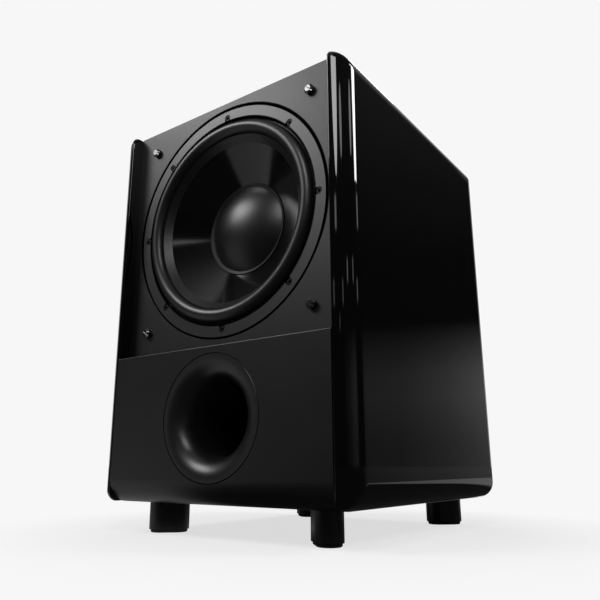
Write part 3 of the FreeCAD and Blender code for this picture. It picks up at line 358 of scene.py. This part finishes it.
def moulded(name, colour, rough, grain=0.0003, depth=0.00001, strength=0.25, shade_at=None, **values):
    """Moulded plastic or rubber with the fine grain that the tool leaves."""
    skin = finish(name)
    cloud = skin.noise(0.02, 3)
    pits = skin.noise(grain, 2)
    # The colour goes black in the places that are given for painted shade.
    tone, gloss, metal = painted_shade(skin, shade_at, skin.toned(cloud, colour, 0.88, 1.12),
                                rough - 0.03 + cloud * 0.03 + pits * 0.03)
    return skin.surface(tone, gloss, skin.bumped(pits, depth, strength), metal, **values)


def pressed_cap(name, level, rough):
    """The dust cap: smooth at its very middle, and duller on the skirt glued to the cone."""
    cap = finish(name)
    away = cap.from_axis(driver_z)
    cloud = cap.noise(0.02, 3)
    pits = cap.noise(0.0003, 2)
    skirt = cap.rise(away, cap_edge - 0.0036, cap_edge - 0.0030, 0.0, 0.15)
    x, y, z = cap.across(cap.place())
    dome = cap.add("ShaderNodeCombineXYZ", None,
                   {0: x / DOME_CURVE, 1: -1, 2: (z - driver_z) / DOME_CURVE})
    grain = cap.bumped(pits, 0.00001, 0.25)
    facing = cap.add("ShaderNodeMix", {"data_type": "VECTOR"},
                     {0: cap.rise(away, 0.004, 0.011), 4: dome, 5: grain}, 1)
    return cap.surface(cap.toned(cloud, grey(level), 0.88, 1.12),
                       rough - 0.03 + cloud * 0.03 + pits * 0.03 + skirt, facing)


def brushed(name, colour, rough, scale, depth=0.000004, metal=1.0):
    """Metal with fine lines running along one axis."""
    sheet = finish(name)
    lines = sheet.noise(0.001, 3, 0.6, sheet.stretched(scale))
    tone = sheet.noise(0.04, 2)
    return sheet.surface(sheet.toned(tone * 0.5 + lines * 0.5, colour, 0.85, 1.1),
                         rough - 0.06 + lines * 0.12, sheet.bumped(lines, depth, 0.4), metal)


def turned(name, colour, rough, metal=1.0):
    """Metal or shell with fine rings left by turning about the driver's axis."""
    disc = finish(name)
    outwards = disc.add("ShaderNodeCombineXYZ", None, {0: disc.from_axis(driver_z)})
    rings = disc.noise(0.0006, 2, 0.5, outwards)
    cloud = disc.noise(0.03, 2)
    return disc.surface(disc.toned(cloud * 0.5 + rings * 0.5, colour, 0.85, 1.12),
                        rough - 0.04 + rings * 0.08, disc.bumped(rings, 0.000005, 0.3), metal)


def fibreboard(name):
    """Bare board pressed from wood fibres."""
    board = finish(name)
    fibres = board.noise(0.0012, 4, 0.7, board.stretched((1, 1, 0.25)))
    layers = board.noise(0.004, 3, 0.6, board.stretched((0.2, 0.2, 1)))
    wood = board.mixed(fibres * 0.6 + layers * 0.4, (0.36, 0.25, 0.15), (0.62, 0.48, 0.33))
    return board.surface(wood, 0.8 + fibres * 0.12, board.bumped(fibres, 0.0001, 0.5))


THREAD_TURN = 1400  # radians in a metre of cloth, half a turn to each thread


def spider_weave(name):
    """Resin treated cloth woven square."""
    cloth = finish(name)
    x, y, z = cloth.across(cloth.place())
    warp = abs(cloth.maths("SINE", x * THREAD_TURN))
    weft = abs(cloth.maths("SINE", z * THREAD_TURN))
    weave = cloth.maths("MAXIMUM", warp, weft)
    stain = cloth.noise(0.012, 3)
    # Darker where the gaps between threads cross: painted shade, mixed with the stain's tone.
    resin = cloth.mixed(weave * 0.6 + stain * 0.4, (0.34, 0.24, 0.10), (0.68, 0.54, 0.30))
    return cloth.surface(resin, 0.75 + stain * 0.1, cloth.bumped(weave, 0.0002, 0.6))


def wound_wire(name, colour, pitch, rough=0.3):
    """Turns of enamelled wire lying side by side along the driver's axis."""
    turns = finish(name)
    x, y, z = turns.across(turns.place())
    crown = abs(turns.maths("SINE", y * (pi / pitch))) ** 0.5
    cloud = turns.noise(0.01, 2)
    # Darker in the gaps between turns: painted shade.
    return turns.surface(turns.toned(crown * 0.8 + cloud * 0.2, colour, 0.45, 1),
                         rough + cloud * 0.15, turns.bumped(crown, pitch * 0.3, 0.8), 0.9)


TAPE_LAPS = 72  # in one turn of the winding


def lapped_tape(name):
    """Yellow tape lapped round the transformer's ring."""
    tape = finish(name)
    across, up = middle_of("mains_transformer")[::2]
    x, y, z = tape.across(tape.place())
    turn = tape.maths("ARCTAN2", x - across, z - up) * (TAPE_LAPS / (2 * pi))
    lap = (turn + y * 40) % 1
    edge = tape.rise(lap, 0.0, 0.12)
    cloud = tape.noise(0.008, 3)
    amber = tape.mixed(edge * 0.7 + cloud * 0.3, (0.32, 0.20, 0.02), (0.75, 0.52, 0.09))
    return tape.surface(amber, 0.28 + cloud * 0.1, tape.bumped(lap + cloud * 0.2, 0.0002, 0.6))


def solder_mask(name):
    """Green circuit board with square-cornered tracks under the varnish."""
    board = finish(name)
    tracks = board.band(board.cells(0.0077, board.stretched((1, 0.01, 1)), distance="CHEBYCHEV"),
                        0.30, 0.36, 0.02)
    cloud = board.noise(0.01, 2)
    varnish = board.mixed(cloud, (0.012, 0.085, 0.035), (0.018, 0.11, 0.045))
    return board.surface(board.mixed(tracks, varnish, (0.05, 0.24, 0.10)),
                         0.22 + cloud * 0.1, board.bumped(tracks, 0.00004, 0.6))


def foam_cells(name, level):
    """Soft black foam with open cells."""
    foam = finish(name)
    cells = foam.cells(0.0007)
    cloud = foam.noise(0.01, 3)
    # Darker in the hollow of each cell: painted shade, mixed with random tone.
    return foam.surface(foam.toned(cells * 0.5 + cloud * 0.5, grey(level), 0.6, 1.5),
                        0.85 + cloud * 0.1, foam.bumped(cells, 0.0003, 0.8))


def cast_paint(name, level, rough):
    """Paint or bare skin on a rough casting."""
    cast = finish(name)
    skin = cast.noise(0.0018, 4, 0.6)
    cloud = cast.noise(0.03, 2)
    return cast.surface(cast.toned(cloud, grey(level), 1, 1.4), rough + skin * 0.1,
                        cast.bumped(skin, 0.0001, 0.35))


made(lacquer("gloss_lacquer", 0.002, 0.02))
made(sprayed_paint("satin_baffle", 0.005, 0.40, shade_at=baffle_edge_shade))
made(sprayed_paint("lower_finish", 0.003, 0.36))
made(fibreboard("raw_board"))
made(moulded("trim_plastic", grey(0.015), 0.37, 0.0012, 0.00006, 0.4, shade_at=ring_edge_shade))
made(cast_paint("black_casting", 0.008, 0.55))
made(moulded("black_screw", grey(0.003), 0.5, 0.0002, 0.000006, **{"Specular IOR Level": 0.2}))
made(foam_cells("foam", 0.02))
made(moulded("surround_rubber", grey(0.004), 0.36, 0.0005, 0.00001, shade_at=flank_shade))
made(turned("cone_shell", grey(0.0022), 0.115, 0.0))
made(pressed_cap("cap_shell", 0.004, 0.36))
made(brushed("former_foil", (0.80, 0.78, 0.74), 0.28, (1, 30, 1)))
made(wound_wire("copper_wire", (0.80, 0.36, 0.17), 0.0005))
made(spider_weave("spider_cloth"))
made(turned("motor_steel", (0.55, 0.55, 0.52), 0.38))
made(cast_paint("ferrite", 0.045, 0.62))
made(moulded("port_plastic", grey(0.006), 0.33, 0.0004, 0.00001))
made(brushed("stud_metal", grey(0.13), 0.22, (1, 1, 1)))
made(moulded("foot_plastic", grey(0.005), 0.36, 0.0005, 0.00002))
made(moulded("pad_rubber", grey(0.006), 0.7, 0.0006, 0.00004))
made(brushed("plate_metal", grey(0.035), 0.4, (0.02, 1, 1), 0.000004, 0.85))
made(solder_mask("circuit"))
made(brushed("brass_metal", (0.80, 0.60, 0.27), 0.25, (1, 1, 1)))
made(moulded("can_sleeve", (0.012, 0.02, 0.07), 0.3, 0.0008, 0.00001))
made(brushed("sink_metal", (0.72, 0.72, 0.73), 0.35, (1, 1, 0.02)))
made(moulded("package_resin", grey(0.018), 0.5, 0.0003, 0.00002))
made(lapped_tape("winding_tape"))
made(brushed("zinc_steel", (0.66, 0.66, 0.62), 0.32, (1, 1, 1)))
made(moulded("control_plastic", grey(0.02), 0.38, 0.0003, 0.00001))
made(brushed("gold_plate", (0.95, 0.72, 0.33), 0.18, (1, 1, 1)))
made(moulded("light_lens", (0.10, 0.45, 0.16), 0.15, 0.001, 0.00001))
made(moulded("wire_cover", (0.35, 0.015, 0.012), 0.4, 0.0008, 0.00001))

for node in frame["nodes"].values():
    for slot in node.material_slots:
        slot.material = finishes[slot_name(slot.material)]

# ---------------------------------------------------------------- repeated parts


class Pattern(Network):
    """A Geometry Nodes tree for parts that repeat, with its sizes as named inputs."""

    def __init__(self, name, **sizes):
        super().__init__(bpy.data.node_groups.new(name, "GeometryNodeTree"))
        self.name = name
        self.sizes = sizes
        self.sockets = {}
        face = self.tree.interface
        for label, value in sizes.items():
            kind = "NodeSocketInt" if isinstance(value, int) else "NodeSocketFloat"
            self.sockets[label] = face.new_socket(label, in_out="INPUT", socket_type=kind)
        face.new_socket("Geometry", in_out="OUTPUT", socket_type="NodeSocketGeometry")
        self.start = self.tree.nodes.new("NodeGroupInput")

    def size(self, label):
        """One of the named sizes, as the tree reads it."""
        return Signal(self, self.start.outputs[label])

    def vector(self, x, y, z):
        return self.add("ShaderNodeCombineXYZ", None, {0: x, 1: y, 2: z})

    def random(self, low, high, seed):
        """A number between low and high for each copy, the same on every run."""
        return self.add("FunctionNodeRandomValue", {"data_type": "FLOAT"},
                        {2: low, 3: high, "Seed": seed}, 1)

    def copies(self, count, shape, place, turn=(0, 0, 0), scale=(1, 1, 1)):
        """Copies of a shape, each put where the place and turn say for its index."""
        points = self.add("GeometryNodePoints", None, {"Count": count})
        spread = self.add("GeometryNodeSetPosition", None, {"Geometry": points, "Position": place})
        return self.add("GeometryNodeInstanceOnPoints", None,
                        {"Points": spread, "Instance": shape, "Rotation": turn, "Scale": scale})

    def built(self, copies, body, slot):
        """Turns the copies into one plain mesh that rides a body."""
        real = self.add("GeometryNodeRealizeInstances", None, {"Geometry": copies})
        painted = self.add("GeometryNodeSetMaterial", None,
                           {"Geometry": real, "Material": finishes[slot]})
        end = self.tree.nodes.new("NodeGroupOutput")
        self.tree.links.new(painted.socket, end.inputs[0])
        maker = bpy.data.objects.new("maker", bpy.data.meshes.new("maker"))
        bpy.context.scene.collection.objects.link(maker)
        modifier = maker.modifiers.new("pattern", "NODES")
        modifier.node_group = self.tree
        for label, value in self.sizes.items():
            modifier[self.sockets[label].identifier] = value
        result = maker.evaluated_get(bpy.context.evaluated_depsgraph_get())
        piece = bpy.data.objects.new(self.name, bpy.data.meshes.new_from_object(result))
        bpy.data.objects.remove(maker)
        bpy.context.scene.collection.objects.link(piece)
        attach(piece, body)


def dial_marks(name, knob):
    """Bare steel marks round a knob, from one end of its turn to the other."""
    across, up = middle_of(knob)[::2]
    marks = Pattern(name, marks=11, sweep=radians(300), radius=0.0132, length=0.0026, width=0.0005,
                    thickness=0.0001, across=across, back=plate_face, up=up)
    index = marks.add("GeometryNodeInputIndex")
    turn = marks.size("sweep") * (index / (marks.size("marks") - 1) - 0.5)
    bar = marks.add("GeometryNodeMeshCube", None,
                    {"Size": marks.vector(marks.size("width"), marks.size("thickness"),
                                          marks.size("length"))})
    place = marks.vector(marks.size("across") + marks.maths("SINE", turn) * marks.size("radius"),
                         marks.size("back") + marks.size("thickness") * 0.6,
                         marks.size("up") + marks.maths("COSINE", turn) * marks.size("radius"))
    bars = marks.copies(marks.size("marks"), bar, place, marks.vector(0, turn, 0))
    marks.built(bars, "cabinet", "zinc_steel")


def knob_pointer(name, knob, body):
    """The bright strip in the groove of a knob."""
    across, up = middle_of(knob)[::2]
    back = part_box(knob)[1][1]
    pointer = Pattern(name, across=across, back=back - 0.00055, up=up + 0.0058, width=0.0010,
                      depth=0.0005, length=0.0058)
    strip = pointer.add("GeometryNodeMeshCube", None,
                        {"Size": pointer.vector(pointer.size("width"), pointer.size("depth"),
                                                pointer.size("length"))})
    place = pointer.vector(pointer.size("across"), pointer.size("back"), pointer.size("up"))
    pointer.built(pointer.copies(1, strip, place), body, "zinc_steel")


def board_rows(name, slot, seed, left, low, round_part):
    """Rows of small parts on the free side of the circuit board."""
    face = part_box("circuit_board")[0][1]
    rows = Pattern(name, parts=30, columns=6, pitch=0.0125, length=0.0062, height=0.0022, left=left,
                   face=face, low=low)
    index = rows.add("GeometryNodeInputIndex")
    column = index % rows.size("columns")
    row = rows.maths("FLOOR", index / rows.size("columns"))
    drift = rows.random(-0.001, 0.001, seed)
    place = rows.vector(rows.size("left") + column * rows.size("pitch") + drift,
                        rows.size("face") - rows.size("height") * 0.51,
                        rows.size("low") + row * rows.size("pitch"))
    if round_part:
        shape = rows.add("GeometryNodeMeshCylinder", None,
                         {"Vertices": 20, "Radius": rows.size("height") / 2,
                          "Depth": rows.size("length")})
        turn = (0, pi / 2, 0)
        scale = rows.vector(1, 1, rows.random(0.7, 1.0, seed + 1))
    else:
        shape = rows.add("GeometryNodeMeshCube", None,
                         {"Size": rows.vector(rows.size("length"), rows.size("height"),
                                              rows.size("length") * 0.7)})
        turn = (0, 0, 0)
        scale = rows.vector(rows.random(0.6, 1.0, seed + 1), 1, rows.random(0.6, 1.0, seed + 2))
    rows.built(rows.copies(rows.size("parts"), shape, place, turn, scale), "cabinet", slot)


BOARD_LEFT = -0.086
CHIP_ROW = 0.388

plate_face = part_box("amplifier_plate")[1][1]
dial_marks("volume_marks", "volume_knob")
dial_marks("crossover_marks", "crossover_knob")
knob_pointer("volume_pointer", "volume_knob", "volume_dial")
knob_pointer("crossover_pointer", "crossover_knob", "crossover_dial")
board_rows("board_chips", "package_resin", 4, BOARD_LEFT, CHIP_ROW, False)
board_rows("board_resistors", "can_sleeve", 9, BOARD_LEFT, CHIP_ROW + 0.0063, True)

# ---------------------------------------------------------------- soft rings

RING_STEPS = 384


def arc(middle, depth, radius, outwards):
    """The points of a half roll that bulges forwards, from its outer foot inwards or back."""
    turns = [pi * step / 24 for step in range(25)]
    points = [(middle + radius * cos(turn), depth - radius * sin(turn)) for turn in turns]
    return points[::-1] if outwards else points


def soft_ring(name, node, slot, profile, sectors):
    """A ring round the driver's axis, cut into sectors.

    Its sectors are narrow, and their edges stay together.
    """
    steps = RING_STEPS // sectors
    for sector in range(sectors):
        middle = 2 * pi * sector / sectors
        turns = [middle + 2 * pi / sectors * (step / steps - 0.5) for step in range(steps + 1)]
        points = [(radius * cos(turn), back, driver_z + radius * sin(turn))
                  for turn in turns for radius, back in profile]
        size = len(profile)
        faces = [(step * size + spot, step * size + (spot + 1) % size,
                  (step + 1) * size + (spot + 1) % size, (step + 1) * size + spot)
                 for step in range(steps) for spot in range(size)]
        mesh = bpy.data.meshes.new(name)
        mesh.from_pydata(points, [], faces)
        mesh.shade_smooth()
        mesh.set_sharp_from_angle(angle=radians(35))
        mesh.materials.append(finishes[slot])
        piece = bpy.data.objects.new(f"{name}_{sector + 1:02d}", mesh)
        bpy.context.scene.collection.objects.link(piece)
        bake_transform(piece)
        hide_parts(node)


def surround_ring():
    """The rubber roll between the basket and the cone."""
    outer, inner, foot, skin = 0.1364, 0.1170, 0.1095, 0.0014
    seat = ring_front + 0.0034
    flange = ring_front + 0.0050
    middle = (outer + inner) / 2
    radius = (outer - inner) / 2
    edge = ring_in - 0.0006
    profile = [(edge, flange - skin), (edge, flange), (outer - skin, flange)]
    profile += arc(middle, seat, radius - skin, False)
    profile += [(inner + skin, seat + skin), (foot, ring_front + 0.0120),
                (foot - skin, ring_front + 0.0113)]
    profile += arc(middle, seat, radius, True)
    profile += [(outer, flange - skin)]
    soft_ring("surround", "driver_surround", "surround_rubber", profile, 48)


def spider_ring():
    """The corrugated cloth that keeps the voice coil in the middle."""
    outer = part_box("driver_spider")[1][0]
    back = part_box("driver_spider")[1][1]
    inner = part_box("voice_coil_former")[1][0]
    first, last, skin = inner + 0.005, outer - 0.0085, 0.0008
    waves, ridge, steps = 4, 0.0025, 64
    ridges = []
    for step in range(steps + 1):
        share = step / steps
        ridges.append((first + (last - first) * share,
                       back - ridge / 2 * (1 - cos(2 * pi * waves * share))))
    face = [(inner, back)] + ridges + [(outer, back)]
    profile = face + [(radius, depth - skin) for radius, depth in reversed(face)]
    soft_ring("spider", "driver_spider", "spider_cloth", profile, 24)


surround_ring()
spider_ring()

# ---------------------------------------------------------------- studio

CEILING = 2.55
AIM = 0.35  # the height on the loudspeaker from which the lamps' angles are taken
LAMP_WATTS = 4  # for a square metre of lamp at a radiance of one
BACKDROP = 0.93


def toward(azimuth, elevation, height):
    """Where a line from the loudspeaker meets a level plane; azimuth 0 is behind it."""
    reach = (height - AIM) / tan(radians(elevation))
    return Vector((reach * sin(radians(azimuth)), reach * cos(radians(azimuth)), height))


def softbox(name, azimuth, elevation, width, length, radiance, height=CEILING, shape="RECTANGLE"):
    """A flat lamp that faces down, its length pointing away from the loudspeaker."""
    lamp = bpy.data.lights.new(name, "AREA")
    lamp.shape = shape
    lamp.size = width
    lamp.size_y = length
    lamp.energy = radiance * width * length * LAMP_WATTS
    item = bpy.data.objects.new(name, lamp)
    item.location = toward(azimuth, elevation, height)
    item.rotation_euler = (0, 0, radians(-azimuth))
    item.visible_camera = False
    bpy.context.scene.collection.objects.link(item)


softbox("front_left_softbox", 222, 35.5, 1.6, 2.0, 7.5)
softbox("front_right_softbox", 152, 30.5, 0.24, 0.74, 5.2, 0.906, "ELLIPSE")
softbox("back_right_softbox", 61, 32.5, 0.95, 2.2, 13)
softbox("right_softbox", 85, 31, 0.6, 1.05, 1.8, shape="ELLIPSE")
softbox("back_left_softbox", 322, 36, 1.8, 1.8, 5)
softbox("right_front_softbox", 131, 30, 0.6, 1.05, 1.8, shape="ELLIPSE")

WINDOWS = (  # azimuth from and to, elevation from and to, brightness
    (158, 166, 21.5, 24.5, 1.8), (50, 58, 21.5, 24.5, 1.5), (65, 69, 14.8, 16.8, 1.6),
    (86, 90, 16.6, 18.8, 1.4), (113, 117, 16.6, 18.7, 1.8), (135, 139, 14.6, 16.8, 1.0),
    (171.5, 174.5, 14.5, 16.8, 0.6), (151, 154, 12.2, 13.6, 0.7),
    (186.5, 189.5, 18, 20.5, 0.9), (274, 278, 44, 48, 0.45), (282, 289, 23, 27.5, 0.6))


def studio_world():
    """A dim room with a pale backdrop behind the loudspeaker."""
    room = Finish(bpy.data.worlds.new("studio"))
    bpy.context.scene.world = room.owner
    x, y, z = room.across(room.add("ShaderNodeTexCoord", output="Generated"))
    azimuth = (room.maths("ARCTAN2", x, y) * DEGREES) % 360
    elevation = room.maths("ARCSINE", z) * DEGREES

    light = room.graph(elevation, -10, 90,
                       (-10, 0.005), (18, 0.006), (25, 0.019), (34, 0.05), (90, 0.06))
    for start, end, low, high, level in WINDOWS:
        pane = room.band(azimuth, start, end, 0.8) * room.band(elevation, low, high, 0.8)
        light = light + pane * level
    overhead = room.graph(azimuth, 140, 270, (145, 0), (162, 0.06), (178, 0.18), (202, 0.33),
                          (226, 0.45), (243, 0.43), (255, 0))
    wall = room.graph(azimuth, 0, 60,
                      (0, 0.3), (18, 0.3), (22, 0.17), (26, 0.11), (44, 0.11), (50, 0))
    glow = room.graph(azimuth, 70, 150,
                      (78, 0), (90, 0.26), (100, 0.22), (116, 0.10), (134, 0.03), (140, 0))
    left = room.band(azimuth, 210, 252, 8) * 0.2
    crown = (room.graph(azimuth, 0, 60, (0, 0.14), (25, 0.14), (38, 0))
             * room.rise(elevation, 34, 42))
    low_band = room.graph(elevation, -6, 14, (-2, 0.5), (2, 0.62), (6, 1.0), (8, 0.9), (12.5, 0))
    light = (light + overhead * room.rise(elevation, 28, 54) + (wall + glow) * low_band
             + left * room.rise(elevation, 4, 12, 1.0, 0.0) + crown)
    beyond = (azimuth + 120) % 360
    behind = (room.band(beyond, 35, 136, 3) * room.rise(elevation, 24, 30, 0.5, 0.0)
              + room.band(beyond, 35, 124, 6) * room.rise(elevation, 24, 30, 0.0, 0.35))
    camera_ray = room.add("ShaderNodeLightPath", output="Is Camera Ray")
    glossy_ray = room.also(camera_ray, "Is Glossy Ray")
    glass_ray = room.also(camera_ray, "Is Transmission Ray")
    pale = room.maths("MINIMUM", camera_ray + glass_ray + glossy_ray * behind, 1)
    colour = room.mixed(pale, grey(0), grey(BACKDROP))
    lit = room.add("ShaderNodeVectorMath", {"operation": "SCALE"},
                   {0: (1, 1, 1), "Scale": light * (1 - pale)})
    total = room.vector_maths("ADD", colour, lit)
    room.ended(room.add("ShaderNodeBackground", None, {"Color": total, "Strength": 1.0}),
               "ShaderNodeOutputWorld")


def studio_floor():
    """A pale floor that keeps the loudspeaker's soft shadow."""
    mesh = bpy.data.meshes.new("floor")
    reach = 30
    corners = [(-reach, -reach, 0), (reach, -reach, 0), (reach, reach, 0), (-reach, reach, 0)]
    mesh.from_pydata(corners, [], [(0, 1, 2, 3)])
    floor = bpy.data.objects.new("floor", mesh)
    bpy.context.scene.collection.objects.link(floor)
    paper = finish("floor_paper")
    x, y, z = paper.across(paper.place())
    away = (x ** 2 + y ** 2) ** 0.5
    azimuth = (paper.maths("ARCTAN2", x, y) * DEGREES) % 360
    camera_ray = paper.add("ShaderNodeLightPath", output="Is Camera Ray")
    glass_ray = paper.also(camera_ray, "Is Transmission Ray")
    glossy_ray = paper.also(camera_ray, "Is Glossy Ray")
    cloud = paper.noise(0.3, 2)
    lit = paper.add("ShaderNodeBsdfDiffuse", None,
                    {"Color": paper.mixed(cloud, grey(0.80), grey(0.83)), "Roughness": 0.5})
    pale = paper.add("ShaderNodeEmission", None, {"Color": tint(grey(BACKDROP)), "Strength": 1.0})
    # Glossy rays see glowing patches in place of the lit floor: painted reflections of a bright floor
    # at the front left and far behind, and a dim glow elsewhere.
    left = (paper.rise(x - y * 0.56, -0.01, 0.06, 0.42, 0.0)
            * paper.rise(azimuth, 248, 253, 1.0, 0.0))
    far = paper.graph(azimuth, 0, 60, (0, 0.16), (19, 0.16), (24, 0.1), (32, 0.06), (60, 0.06))
    behind = (paper.rise(y, 0.33, 0.40) * paper.band((azimuth + 120) % 360, 35, 180, 4)
              * (paper.rise(away, 1.2, 2.4, 0.42, 0.0) + paper.rise(away, 1.2, 2.4) * far))
    glow = 0.02 + left * paper.rise(y, 0, 0.05, 1.0, 0.0) + behind
    patches = paper.add("ShaderNodeEmission", None, {"Color": tint(grey(1)), "Strength": glow})
    seen = paper.add("ShaderNodeMixShader", None,
                     {0: paper.rise(away, 0.2, 0.5, 0.25, 0.0), 1: pale, 2: lit})
    mirrored = paper.add("ShaderNodeMixShader", None, {0: glossy_ray, 1: lit, 2: patches})
    direct = paper.maths("MINIMUM", camera_ray + glass_ray, 1)
    paper.ended(paper.add("ShaderNodeMixShader", None, {0: direct, 1: mirrored, 2: seen}))
    mesh.materials.append(paper.owner)


def studio_camera(place, tilt, pan, lens, shift):
    """The camera, low in front of the right-hand corner and looking up."""
    camera = bpy.data.cameras.new("camera")
    camera.lens = lens
    camera.sensor_width = 36
    camera.shift_x, camera.shift_y = shift
    camera.clip_end = 200
    eye = bpy.data.objects.new("camera", camera)
    eye.location = place
    eye.rotation_euler = Euler((radians(tilt), 0, radians(pan)))
    bpy.context.scene.collection.objects.link(eye)
    bpy.context.scene.camera = eye


studio_world()
studio_floor()
studio_camera((0.50548, -0.74937, 0.08335), 104.492, 36.350, 37.135, (0.0208, 0.00865))
bpy.context.scene.view_settings.view_transform = "Standard"
